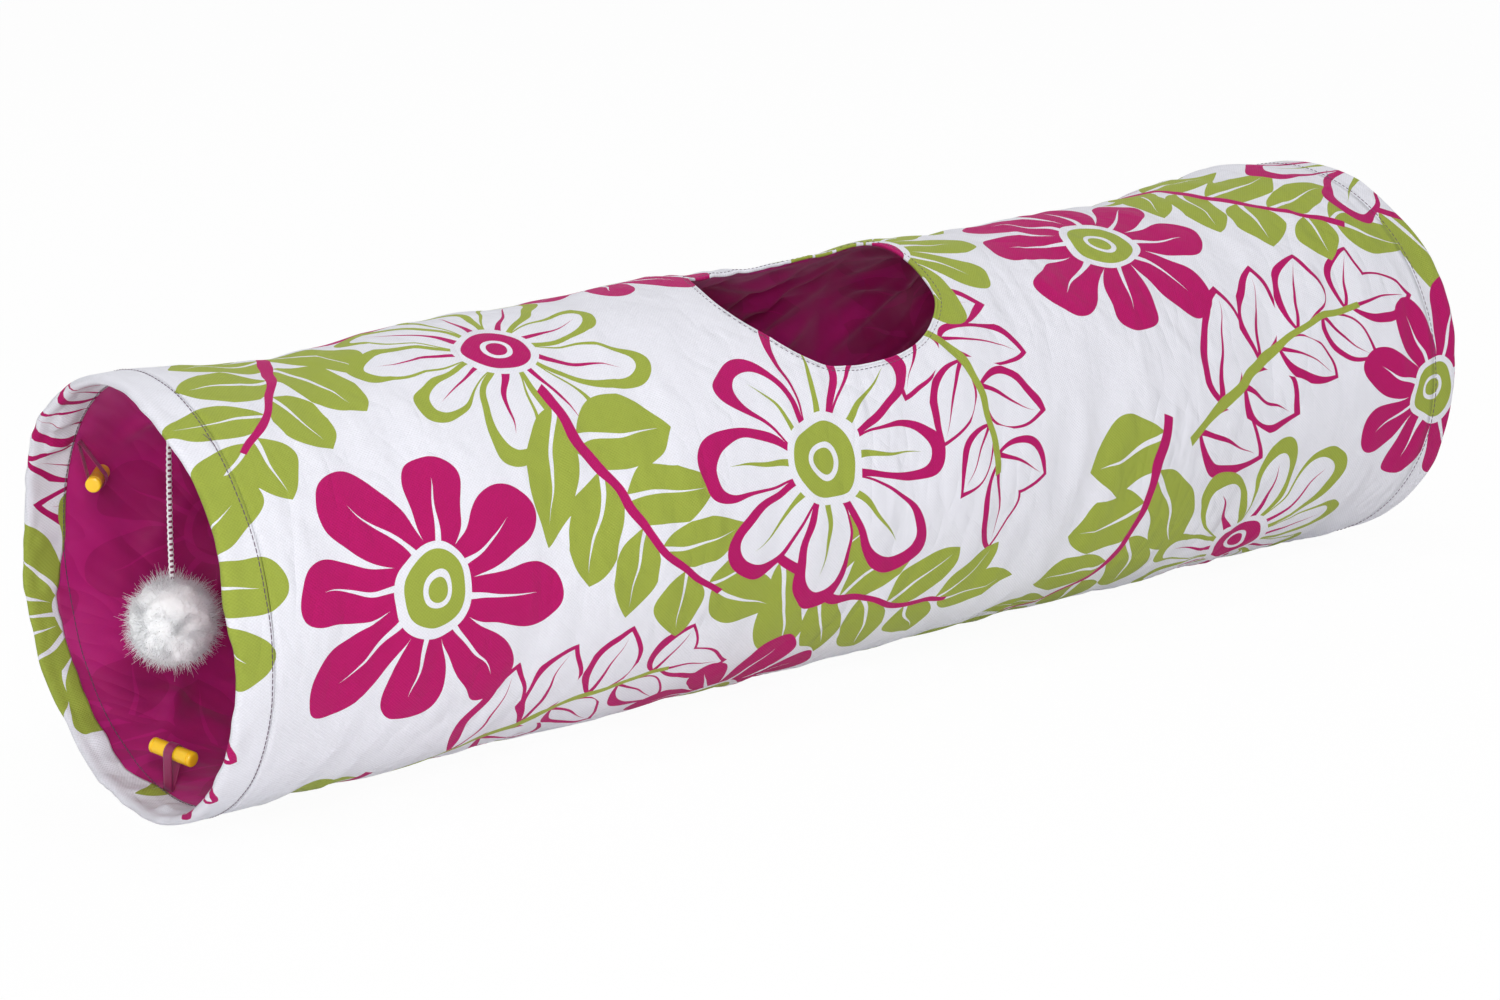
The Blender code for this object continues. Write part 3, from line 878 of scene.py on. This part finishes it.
# %% Cover
def sleeve(name, columns, around, base_inset, drop, wall, material, reach):
    places, faces, uvs = wrapped_faces(columns, around, lambda x, angle: hole_reach(x, angle, facing_width))
    points = tunnel_point(places[:, 0], places[:, 1], base_inset + drop(places[:, 0], places[:, 1]))
    points[:, 0] -= reach(places[:, 0], places[:, 1])
    points[:, 2] = np.maximum(points[:, 2], 0.0002)
    item = new_piece(name, points, faces, material, uvs)
    give_wall(item, wall)
    print(name, triangles(item), "triangles")
    return item


cover_columns = np.linspace(-cloth_end, cloth_end, 224)
cover = sleeve("printed_cover", cover_columns, 196, 0.0, cover_drop, cover_wall, canvas, lambda x, angle: 0.0)
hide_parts("outer_cover")

# %% [markdown]
# ## Lining
# The lining is cut a little too large, so it hangs in soft slanting folds inside. They go inwards only,
# and fade out towards both ends, where the hems hold it.

# %% Lining
def fold(height, limit, wave):
    """A soft ridge along the middle of a noise wave."""
    return height * np.clip(limit - 1.6 * np.abs(wave), 0, 1)


def hem_tuck(angle):
    """How much shallower the inner fold of the mouth lies, low on its far side."""
    return 0.0095 * smooth((-1.50 - angle) / 0.35) * smooth((angle + 3.05) / 0.30)


def lining_drop(x, angle):
    share, width = bay_place(x, angle)
    held = np.sin(math.pi * share) ** 0.7 * smooth(width / 0.10)
    slant = cloth_noise(x - 0.8 * angle * body_radius, angle, 0.055, 0.140, 41.3)
    swag = cloth_noise(x + 0.4 * angle * body_radius, angle, 0.150, 0.038, 63.8)
    folds = fold(0.0130, 0.55, slant) + fold(0.0100, 0.45, swag)
    ends = smooth((cloth_end - np.abs(x) - 0.008) / 0.040)
    beside_hole = smooth((hole_reach(x, angle) - 1.03) / 0.35)
    sewn_up = (lining_inset - sewn_inset) * (1 - smooth((hole_reach(x, angle) - 1) / 0.09))
    return cover_drop(x, angle) + folds * held * ends * beside_hole - sewn_up


def lining_reach(x, angle):
    """How far the lining is drawn towards the mouth, where the hem's inner fold is shallow."""
    return hem_tuck(angle) * (1 - smooth((x + cloth_end) / 0.040))


lining_columns = np.linspace(-cloth_end, cloth_end, 214)
lining = sleeve("tunnel_lining", lining_columns, 190, lining_inset, lining_drop, lining_wall, lining_cloth,
                lining_reach)
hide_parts("lining")

# %% [markdown]
# ## Spring wire
# One helix of spring steel, 2.2 mm thick, winds five times between the two cloths. It is a swept tube.

# %% Spring wire
def object_place(tree):
    return Wire(add_node(tree, "TexCoord"), "Object")


def steel_material(name, color, rough):
    material, shader = new_material(name, Metallic=1.0, Roughness=rough)
    drawn_out = vector_node("MULTIPLY", object_place(material.node_tree), (90.0, 700.0, 700.0))
    dark = tuple(0.72 * part for part in color[:3]) + (1.0,)
    shade, streaks = place_group(specks, Place=drawn_out, Scale=1.0, Detail=4.0, Dark=dark, Light=color)
    feed(shader, Base_Color=shade, Roughness=map_range(streaks, 0.3, 0.7, rough - 0.1, rough + 0.12),
         Normal=bump(streaks, 0.2, 0.00008))
    return material


spring_steel = steel_material("spring_steel", (0.52, 0.53, 0.55, 1.0), 0.32)
ferrule_steel = steel_material("ferrule_steel", (0.62, 0.63, 0.64, 1.0), 0.38)


def wire_piece():
    turns = np.linspace(0, wire_turns, wire_turns * 64 + 1)
    x = -cloth_end + wire_pitch * (turns + 1 / wire_steps)
    angle = wire_angle(0) - 2 * math.pi * (turns + 1 / wire_steps)
    path = tunnel_point(x, angle, wire_inset + whole_drop(x, angle))
    points, faces, uvs = tube(path, wire_radius, 10)
    item = new_piece("spiral_spring", points, faces, spring_steel, uvs)
    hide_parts("spring_wire")
    return item


spring = wire_piece()
for node_name in ("mouth_hoop", "far_hoop"):
    frame["nodes"][node_name].data.materials[0] = spring_steel
for node_name in ("mouth_hoop_ferrule", "far_hoop_ferrule"):
    frame["nodes"][node_name].data.materials[0] = ferrule_steel
print("spring", triangles(spring), "triangles")

# %% [markdown]
# ## Hems
# At each end the canvas is folded inwards round a wire hoop and stitched down. The fold is loose on its
# hoop, so the rim is a little wavy. The sheet runs from the seam out over the rim and back in.

# %% Shape of a hem
hem_fold_depth = 0.0235
outer_inset = 0.0004
fold_inset = 0.0051
rim_depth = 0.00275
hem_columns = 30
hem_around = 320


def hem_profile(share, angle, side):
    """Depth from the rim and inset of the folded cloth's middle, for a share of the way through it."""
    straight_out = hem_depth - rim_depth
    bend = math.pi * (fold_inset - outer_inset) / 2
    straight_in = hem_fold_depth - rim_depth - (hem_tuck(angle) if side < 0 else 0)
    gone = share * (straight_out + bend + straight_in)
    turn = np.clip((gone - straight_out) / bend, 0, 1) * math.pi
    depth = np.where(gone < straight_out, hem_depth - gone, rim_depth - rim_depth * np.sin(turn))
    depth = np.where(gone > straight_out + bend, rim_depth + gone - straight_out - bend, depth)
    inset = outer_inset + (fold_inset - outer_inset) * (1 - np.cos(turn)) / 2
    seed = 71.0 if side < 0 else 97.0
    wave = cloth_noise(0 * angle, angle, 1.0, 0.052, seed)
    ripple = cloth_noise(0 * angle, angle, 1.0, 0.014, seed + 9)
    crumple = cloth_noise(depth + 0.2 * angle * body_radius, angle, 0.040, 0.017, seed + 21)
    crumple = crumple * (1.0 if side < 0 else 0.4)
    rim = np.exp(-depth / 0.007)
    depth = depth - rim * np.clip(0.0014 + 0.0052 * wave + 0.0012 * ripple, 0, 0.0055)
    free = np.sin(math.pi * np.clip(depth / hem_depth, 0, 1)) ** 0.7
    folds = np.maximum(0.0016 * ripple + 0.0062 * crumple, -0.0006) + 0.0018 * np.clip(wave, 0, 1)
    outer_folds = 0.0012 * np.clip(wave + 0.3, 0, 1) + 0.0006 * crumple
    pull = np.where(gone > straight_out + bend / 2, folds, outer_folds)
    hoop_room = smooth((depth - 0.003) / 0.004)
    return depth, inset + free * pull * hoop_room


def hem_point(share, angle, side):
    depth, inset = hem_profile(share, angle, side)
    points = tunnel_point(np.full_like(depth, side * cloth_end), angle, inset)
    points[..., 0] = side * (half_length - depth)
    points[..., 2] = np.maximum(points[..., 2], 0.0005)
    return points


# %% Hems
def hem_piece(name, side, node_name):
    angles = -math.pi + 2 * math.pi * np.arange(hem_around + 1) / hem_around
    grid_share, grid_angle = np.meshgrid(np.linspace(0, 1, hem_columns), angles[:-1], indexing="ij")
    points = hem_point(grid_share, grid_angle, side).reshape(-1, 3)
    quads = grid_quads(hem_columns - 1, hem_around)
    if side < 0:
        quads = [quad[::-1] for quad in quads]
    places = side * (cloth_end + (hem_depth + hem_fold_depth) * np.arange(hem_columns) / (hem_columns - 1))
    uvs = [cloth_uv(places[row], angles[column]) for quad in quads for row, column in quad]
    item = new_piece(name, points, grid_faces(quads, hem_columns, hem_around), canvas, uvs)
    give_wall(item, cover_wall, 0.0)
    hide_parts(node_name)
    print(name, triangles(item), "triangles")
    return item


mouth_hem = hem_piece("mouth_hem_fold", -1, "mouth_hem")
far_hem = hem_piece("far_hem_fold", 1, "far_hem")

# %% [markdown]
# ## Edge of the peephole
# Cover and lining are turned in against each other round the hole and stitched. A narrow rolled edge,
# swept round the outline, closes them. Its section gives, in millimetres, how far each corner stands out
# from the edge of the hole, and how deep it lies.

# %% Peephole edge
edge_section = ((1.50, -0.02), (1.00, -0.16), (0.40, -0.12), (0.08, 0.15), (0.0, 0.55), (0.0, 1.00),
                (0.08, 1.50), (0.40, 1.80), (1.00, 1.86), (1.50, 1.70))


def edge_piece():
    steps = 220
    count = len(edge_section)
    places = [hole_edge(np.arange(steps) / steps, grow / 1000) for grow, _ in edge_section]
    rings = [tunnel_point(x, angle, inset / 1000 + cover_drop(x, angle))
             for (x, angle), (_, inset) in zip(places, edge_section)]
    quads = grid_quads(steps, count)
    uvs = [cloth_uv(*(values[row % steps] for values in places[column % count]))
           for quad in quads for row, column in quad]
    points = np.stack(rings, axis=1).reshape(-1, 3)
    item = new_piece("peephole_edge", points, grid_faces(quads, steps, count), canvas, uvs)
    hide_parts("peephole_facing")
    return item


peephole_edge = edge_piece()
print("peephole edge", triangles(peephole_edge), "triangles")

# %% [markdown]
# ## Stitches
# Dark thread runs round both hems and round the peephole. One stitch is a small rounded rod,
# and each seam is many copies of it joined in one mesh.

# %% Thread and stitch
def thread_material():
    material, shader = new_material("dark_thread", Roughness=0.65, Sheen_Weight=0.2)
    color, fibre = place_group(specks, Place=object_place(material.node_tree), Scale=2500.0, Detail=2.0,
                               Dark=(0.050, 0.020, 0.050, 1.0), Light=(0.110, 0.055, 0.105, 1.0))
    feed(shader, Base_Color=color, Normal=bump(fibre, 0.4, 0.0001))
    return material


dark_thread = thread_material()
stitch_rings = ((-1.0, 0.30, -0.9), (-0.75, 0.85, -0.1), (0.0, 1.0, 0.25), (0.75, 0.85, -0.1),
                (1.0, 0.30, -0.9))
stitch_sides = 6


def seam(name, middles, directions, normals, half_length, radius):
    """Stitches lying along directions, each rising a little off the cloth in its middle."""
    directions = unit(directions)
    normals = unit(normals - directions * np.sum(normals * directions, axis=1)[:, None])
    sideways = np.cross(directions, normals)
    rings = []
    for place, full, rise in stitch_rings:
        centre = middles + directions * half_length * place + normals * radius * rise
        for turn in 2 * math.pi * np.arange(stitch_sides) / stitch_sides:
            rings.append(centre + (normals * math.cos(turn) + sideways * math.sin(turn)) * radius * full)
    size = len(rings)
    quads = grid_quads(len(stitch_rings) - 1, stitch_sides)
    stitch = [face[:1] + face[:0:-1] for face in grid_faces(quads, len(stitch_rings), stitch_sides)]
    stitch += [list(range(stitch_sides)), list(range(size))[:-stitch_sides - 1:-1]]
    points = np.stack(rings, axis=1).reshape(-1, 3)
    item = new_piece(name, points, copied(stitch, size, len(middles)), dark_thread)
    print(name, len(middles), "stitches,", triangles(item), "triangles")
    return item


# %% Seams of the hems
outer_stitch_share = 0.032
inner_stitch_share = 0.970
hem_stitches = 222
half_stitch = 0.0016
hem_thread = 0.00028
stitch_lift = 0.0005
sway = 0.009


def hem_seam(name, side, share, lift, skip):
    angles = 2 * math.pi * (np.arange(hem_stitches) + skip) / hem_stitches
    waves = np.sin(3 * angles + side) + 0.6 * np.sin(7 * angles + 2) + 0.4 * np.sin(16 * angles)
    share = share + sway * waves
    middle = hem_point(share, angles, side)
    ahead = hem_point(share, angles + 0.01, side)
    rise = outward(angles) * math.copysign(1, lift)
    return seam(name, middle + outward(angles) * lift, ahead - middle, rise, half_stitch, hem_thread)


mouth_seam = hem_seam("mouth_seam", -1, outer_stitch_share, stitch_lift, 0.0)
mouth_inner_seam = hem_seam("mouth_inner_seam", -1, inner_stitch_share, -stitch_lift, 0.5)
far_seam = hem_seam("far_seam", 1, outer_stitch_share, stitch_lift, 0.0)
far_inner_seam = hem_seam("far_inner_seam", 1, inner_stitch_share, -stitch_lift, 0.5)


# %% Seam of the peephole, and thread ends
hole_stitches = 136
hole_half_stitch = 0.00115
hole_thread = 0.00022
hole_margin = 0.0036


def hole_seam():
    turns = np.arange(hole_stitches) / hole_stitches
    x, angle = hole_edge(turns, hole_margin)
    middle = tunnel_point(x, angle, cover_drop(x, angle) - 0.0001)
    ahead_x, ahead_angle = hole_edge(turns + 0.002, hole_margin)
    ahead = tunnel_point(ahead_x, ahead_angle, cover_drop(ahead_x, ahead_angle))
    return seam("peephole_seam", middle, ahead - middle, outward(angle), hole_half_stitch, hole_thread)


def thread_end(name, side, angle):
    """The loose end that a seam leaves where its last stitch meets its first."""
    share = np.linspace(0, 1, 13)[:, None]
    root = hem_point(np.array([outer_stitch_share]), np.array([angle]), side)
    around = np.array((0.0, math.cos(angle), math.sin(angle)))
    path = root + outward(angle) * (0.0003 + 0.0022 * share ** 1.5) + around * 0.0085 * share
    path[:, 0] += side * 0.0042 * share[:, 0] ** 2
    points, faces, _ = tube(path, 0.00019, 8)
    return new_piece(name, points, faces, dark_thread)


peephole_seam = hole_seam()
mouth_thread = thread_end("mouth_thread_end", -1, 0.64)
far_thread = thread_end("far_thread_end", 1, 0.25)

# %% [markdown]
# ## Toggles
# Three yellow plastic rods close the tunnel when it is folded. Each is turned: a circle is extruded
# along its axis step by step, and scaled at each step for the shallow grooves and the rounded ends.

# %% Toggle material
def toggle_material():
    material, shader = new_material("toggle_plastic", Roughness=0.35, Coat_Weight=0.15, IOR=1.5)
    place = object_place(material.node_tree)
    color, _ = place_group(specks, Place=place, Scale=160.0, Detail=3.0, Dark=(0.94, 0.53, 0.006, 1.0),
                           Light=(0.98, 0.64, 0.020, 1.0))
    fine = mottle(place, 900.0)
    feed(shader, Base_Color=color, Roughness=map_range(fine, 0.3, 0.7, 0.28, 0.42),
         Normal=bump(fine, 0.15, 0.0001))
    return material


toggle_plastic = toggle_material()


# %% Turned toggle
rod_radius = 0.0045
half_rod_steps = ((-0.015, 0.0030), (-0.01485, 0.0037), (-0.0145, 0.0042), (-0.0140, rod_radius),
                  (-0.0128, rod_radius), (-0.0126, 0.0041), (-0.0122, 0.0041), (-0.0120, rod_radius),
                  (-0.0045, rod_radius), (-0.0040, 0.00435))
rod_steps = half_rod_steps + tuple((-place, radius) for place, radius in reversed(half_rod_steps))


def turned_rod(name, material):
    """A closed rod along Z, made by extruding and scaling a circle."""
    bpy.ops.object.select_all(action="DESELECT")
    place, radius = rod_steps[0]
    bpy.ops.mesh.primitive_circle_add(vertices=40, radius=radius, fill_type="NGON", location=(0, 0, place))
    item = bpy.context.object
    item.name = name
    bpy.ops.object.transform_apply(location=True, rotation=True, scale=True)
    bpy.ops.object.mode_set(mode="EDIT")
    bpy.ops.mesh.select_all(action="SELECT")
    for next_place, next_radius in rod_steps[1:]:
        bpy.ops.mesh.extrude_region_move(TRANSFORM_OT_translate={"value": (0, 0, next_place - place)})
        grow = next_radius / radius
        bpy.ops.transform.resize(value=(grow, grow, 1), center_override=(0, 0, next_place))
        place, radius = next_place, next_radius
    bpy.ops.mesh.select_all(action="SELECT")
    bpy.ops.mesh.normals_make_consistent(inside=False)
    bpy.ops.object.mode_set(mode="OBJECT")
    item.data.materials.append(material)
    bpy.ops.object.shade_smooth_by_angle(angle=math.radians(35))
    return item


def lay_along(item, middle, direction):
    """Turn a piece from Z to a direction, move it to its place, and put both in its mesh."""
    turn = Vector(direction).to_track_quat("Z", "Y").to_matrix().to_4x4()
    item.matrix_world = Matrix.Translation(middle) @ turn
    pick_only(item)
    bpy.ops.object.transform_apply(location=True, rotation=True, scale=True)


for number in (1, 2, 3):
    rod = turned_rod(f"toggle_rod_{number}", toggle_plastic)
    joint = joints[f"toggle_{number}_spin"]
    lay_along(rod, joint["pos_m"], joint["axis"])
    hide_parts(f"toggle_{number}")
    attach(rod, f"toggle_{number}")
print("toggle", triangles(rod), "triangles")

# %% [markdown]
# ## Ribbons
# A folded satin ribbon holds each toggle, and at the far end three more ribbons make the loops that
# the toggles go through. A ribbon is a flat strip bent along its path, with a crease in its middle.

# %% Ribbon material
def ribbon_material():
    material, shader = new_material("ribbon_satin", Roughness=0.42, Sheen_Weight=0.35,
                                    Sheen_Tint=(1.0, 0.5, 0.75, 1.0))
    place = uv_place(material.node_tree)
    ridges = math_node("SINE", axes_of(place)[0] * (2 * math.pi * 9))
    drawn_out = vector_node("MULTIPLY", place, (14.0, 500.0, 0.0))
    color, streak = place_group(specks, Place=drawn_out, Scale=1.0, Detail=2.0,
                                Dark=(0.170, 0.004, 0.050, 1.0), Light=(0.330, 0.012, 0.110, 1.0))
    feed(shader, Base_Color=color, Roughness=map_range(streak, 0.3, 0.7, 0.34, 0.52),
         Normal=bump(ridges, 0.35, 0.00012))
    return material


ribbon_satin = ribbon_material()


# %% Ribbon strip
ribbon_width = 0.006
ribbon_wall = 0.0006
ribbon_leg = 0.0005
ribbon_curl = 0.0001


def eye_path(length, half_height, half_width, necked):
    """Middle line of a folded ribbon in its own plane, root first, round the eye and back."""
    spread = math.asin(ribbon_leg / half_width) if necked else math.acos(half_height / length)
    swing = -math.pi / 2 - spread - (2 * math.pi - 2 * spread) * np.linspace(0, 1, 31)
    eye = np.stack([half_width * np.cos(swing), length + half_height * np.sin(swing)], axis=-1)
    top = np.array((-ribbon_leg, length - 1.3 * half_height)) if necked else eye[0]
    share = np.linspace(0, 1, 6)[:, None]
    leg = (1 - share) * np.array((-ribbon_leg, 0.0)) + share * top
    if not necked:
        leg = leg[:-1]
    return np.concatenate([leg, eye, leg[::-1] * (-1, 1)])


def ribbon_piece(name, root, hang, face, path, body, node_name):
    """A strip with its width along face. root is where it is sewn down, hang is the way it hangs."""
    face = unit(face - hang * np.dot(face, hang))
    edge = np.cross(face, hang)
    widths = np.linspace(-0.5, 0.5, 7)
    course = unit(np.gradient(path, axis=0))
    rise = np.stack([-course[:, 1], course[:, 0]], axis=-1)
    curled = path[:, None] + rise[:, None] * (ribbon_curl * (1 - (2 * widths) ** 2))[:, None]
    points = root + curled[..., :1] * edge + curled[..., 1:] * hang + (widths * ribbon_width)[:, None] * face
    quads = grid_quads(len(path) - 1, len(widths) - 1)
    faces = grid_faces(quads, len(path), len(widths))
    uvs = [(column / (len(widths) - 1), row * 0.001) for quad in quads for row, column in quad]
    item = new_piece(name, points.reshape(-1, 3), faces, ribbon_satin, uvs)
    give_wall(item, ribbon_wall * 0.85, 0.0)
    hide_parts(node_name)
    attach(item, body)
    return item


# %% Toggle ribbons and button loops
pivot_rise = 0.0018
toggle_eye = rod_radius + 0.0003 + ribbon_wall / 2
toggle_path = eye_path(0.0235, toggle_eye, toggle_eye, False)
loop_path = eye_path(0.0155, 0.0077, 0.0057, True)
toggle_ways = (((0.31, -0.24, -0.91), (0.59, 0.77, -0.01)), ((0.14, -0.08, 0.99), (0.36, -0.92, -0.15)),
               ((0.31, 0.24, -0.91), (0.59, -0.77, -0.01)))
loop_ways = (((0, 0, -1), (0, 1, 0)), ((0, 0, 1), (0, 1, 0)), ((0, 1, 0), (0, 0, 1)))
for number in (1, 2, 3):
    for stem, ways, path in (("toggle_ribbon", toggle_ways, toggle_path),
                             ("button_loop", loop_ways, loop_path)):
        hang, face = (np.array(way, float) for way in ways[number - 1])
        hang = unit(hang)
        hinge = np.array(joints[f"{stem}_{number}_flap"]["pos_m"])
        ribbon = ribbon_piece(f"{stem}_{number}_strip", hinge - hang * pivot_rise, hang, face, path,
                              f"{stem}_{number}", f"{stem}_{number}")
print("ribbon", triangles(ribbon), "triangles")

# %% [markdown]
# ## Knot
# The string is tied off in a plain overhand knot, which is a trefoil: its path winds through itself.

# %% Knot
def knot_piece():
    turn = np.linspace(0, 2 * math.pi, 97)
    loop = np.stack([np.sin(turn) + 2 * np.sin(2 * turn), -np.sin(3 * turn),
                     np.cos(turn) - 2 * np.cos(2 * turn)], axis=-1)
    points, faces, uvs = tube(knot_middle + loop * 0.00055, 0.00075, 10)
    item = new_piece("string_knot_tied", points, faces, string_elastic, uvs)
    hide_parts("string_knot")
    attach(item, "string_knot")
    return item


knot = knot_piece()
print("knot", triangles(knot), "triangles")

# %% [markdown]
# ## Pompom
# The pompom is a tied ball of long white hair. Each hair here is a real three-sided strand that leaves
# a soft core, leans a little and curls, so that the outline is as ragged as the real one. Chance is
# seeded, so that every run grows the same hair.

# %% Pompom material
def fluff_material():
    material, shader = new_material("pompom_fluff", Roughness=0.9, Sheen_Weight=0.8,
                                    Subsurface_Weight=0.7, Subsurface_Scale=0.010,
                                    Subsurface_Radius=(1.0, 1.0, 1.0))
    color, fine = place_group(specks, Place=object_place(material.node_tree), Scale=400.0, Detail=3.0,
                              Dark=(0.92, 0.945, 0.99, 1.0), Light=(0.97, 0.985, 1.0, 1.0))
    feed(shader, Base_Color=color, Normal=bump(fine, 0.5, 0.0010))
    return material


pompom_fluff = fluff_material()

# %% Pompom hair
hair_count = 9000
hair_steps = 4
hair_sides = 3
hair_middle = pompom_middle + np.array((-0.001, 0.0, 0.003))


def pompom_hair():
    chance = np.random.default_rng(5)
    noise.seed_set(5)
    index = np.arange(hair_count) + 0.5
    height = 1 - 2 * index / hair_count
    swing = math.pi * (1 + math.sqrt(5)) * index
    flat = np.sqrt(1 - height ** 2)
    out = np.stack([flat * np.cos(swing), flat * np.sin(swing), height], axis=-1)
    tuft = np.array([noise.noise_vector(Vector(spot) * 3.2) for spot in out])
    lean = unit(out + 0.62 * tuft + chance.normal(0, 0.26, out.shape))
    curl = chance.normal(0, 0.30, out.shape)
    length = 0.0040 + 0.0060 * chance.random(hair_count) ** 2.5 + 0.0016 * tuft[:, 0]
    root = out * (0.0200 + 0.0030 * tuft[:, :1])
    side = unit(np.cross(lean, chance.normal(0, 1, out.shape)))
    other = np.cross(lean, side)
    rings = []
    for share in np.linspace(0, 1, hair_steps):
        middle = root + lean * (length * share)[:, None] + curl * (length * share ** 2 * 0.5)[:, None]
        thick = 0.00020 * (1 - 0.75 * share)
        for turn in 2 * math.pi * np.arange(hair_sides) / hair_sides:
            rings.append(middle + (side * math.cos(turn) + other * math.sin(turn)) * thick)
    size = len(rings)
    strand = grid_faces(grid_quads(hair_steps - 1, hair_sides), hair_steps, hair_sides)
    strand += [[2, 1, 0], [size - 3, size - 2, size - 1]]
    points = np.stack(rings, axis=1).reshape(-1, 3) + hair_middle
    item = new_piece("pompom_hair", points, copied(strand, size, hair_count), pompom_fluff)
    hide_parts("pompom")
    print("pompom hair", triangles(item), "triangles")
    return item


# %% Pompom core
def pompom_core():
    bpy.ops.object.select_all(action="DESELECT")
    bpy.ops.mesh.primitive_ico_sphere_add(subdivisions=6, radius=0.0232, location=tuple(hair_middle))
    item = bpy.context.object
    item.name = "pompom_core"
    bpy.ops.object.transform_apply(location=True, rotation=True, scale=True)
    for vertex in item.data.vertices:
        away = np.array(vertex.co) - hair_middle
        push = noise.noise(Vector(away) * 150) * 0.10 + noise.noise(Vector(away) * 700) * 0.03
        vertex.co = hair_middle + away * (1 + push)
    item.data.materials.append(pompom_fluff)
    item.data.shade_smooth()
    print("pompom core", triangles(item), "triangles")
    return item


hair = pompom_hair()
core = pompom_core()

# %% [markdown]
# ## What moves with what
# The far end slides towards the mouth when the tunnel is folded. The cover, the lining, the wire and the
# peephole ride with the mouth end, each with a mesh of its own. The hems and their seams stay whole and ride
# with their own ends.

# %% Ride with the ends
for piece in (cover, lining, spring, peephole_edge, peephole_seam):
    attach(piece, "mouth_end")
    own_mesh(piece)
for piece in (mouth_hem, mouth_seam, mouth_inner_seam, mouth_thread):
    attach(piece, "mouth_end")
for piece in (far_hem, far_seam, far_inner_seam, far_thread):
    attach(piece, "far_end")
for piece in (hair, core):
    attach(piece, "pompom")

# %% [markdown]
# Each cloth was cut flat before it was sewn.

# %% [markdown]
# ## Floor and light
# The object stands on a plain white floor. A soft lamp in front lights the cover, one on the left lights
# the mouth and its lining, one above the top, and a wide weak one the back. An even sky fills the shadows.
# For the camera the sky and the floor are white, while the floor still keeps the tunnel's soft shadow.

# %% Floor
floor_glow = 0.96


def seen_share(tree, *rays):
    """1 where a ray shows the background itself, and 0 where it carries light to the object."""
    path = add_node(tree, "LightPath")
    share = Wire(path, rays[0])
    for ray in rays[1:]:
        share = math_node("MAXIMUM", share, Wire(path, ray))
    return share


def floor_material():
    material, shader = new_material("white_floor", Roughness=0.9)
    tree = material.node_tree
    color, _ = place_group(specks, Place=object_place(tree), Scale=3.0, Detail=2.0,
                           Dark=(0.93, 0.93, 0.93, 1.0), Light=(0.95, 0.95, 0.95, 1.0))
    feed(shader, Base_Color=color)
    seen = seen_share(tree, "Is Camera Ray", "Is Glossy Ray") * floor_glow
    blend = add_node(tree, "MixShader", seen, Wire(shader), Wire(add_node(tree, "Emission", white, 1.0)))
    feed(tree.nodes["Material Output"], Surface=Wire(blend))
    return material


bpy.ops.object.select_all(action="DESELECT")
bpy.ops.mesh.primitive_plane_add(size=24.0, location=(0, 0, -0.0002))
floor = bpy.context.object
floor.name = "floor"
floor.data.materials.append(floor_material())


# %% Sky and lamps
def white_sky(fill):
    world = bpy.data.worlds.new("studio")
    bpy.context.scene.world = world
    world.use_nodes = True
    tree = world.node_tree
    tree.nodes.clear()
    seen = seen_share(tree, "Is Camera Ray", "Is Glossy Ray", "Is Transmission Ray")
    light, backdrop = (Wire(add_node(tree, "Background", white, strength)) for strength in (fill, 1.0))
    add_node(tree, "OutputWorld", Wire(add_node(tree, "MixShader", seen, light, backdrop)))


def soft_lamp(name, place, target, size, power):
    data = bpy.data.lights.new(name, "AREA")
    data.shape = "DISK"
    data.size = size
    data.energy = power
    lamp = bpy.data.objects.new(name, data)
    lamp.location = place
    lamp.rotation_euler = (Vector(target) - Vector(place)).to_track_quat("-Z", "Y").to_euler()
    bpy.context.collection.objects.link(lamp)
    print(name, power, "W")


white_sky(0.49)
soft_lamp("key_lamp", (-1.3, -2.0, 1.7), (0.0, 0.0, 0.1), 0.7, 17.5)
soft_lamp("mouth_lamp", (-1.7, -1.9, 0.8), (-0.3, 0.0, 0.1), 0.7, 19.5)
soft_lamp("top_lamp", (-0.2, -0.5, 2.4), (0.0, 0.0, 0.1), 0.8, 11.0)
soft_lamp("back_lamp", (1.0, 1.6, 2.0), (0.1, 0.0, 0.1), 1.6, 8.0)

# %% [markdown]
# ## Finish
# The view transform is Standard, so a colour renders as it is written.

# %% Finish
bpy.context.scene.view_settings.view_transform = "Standard"
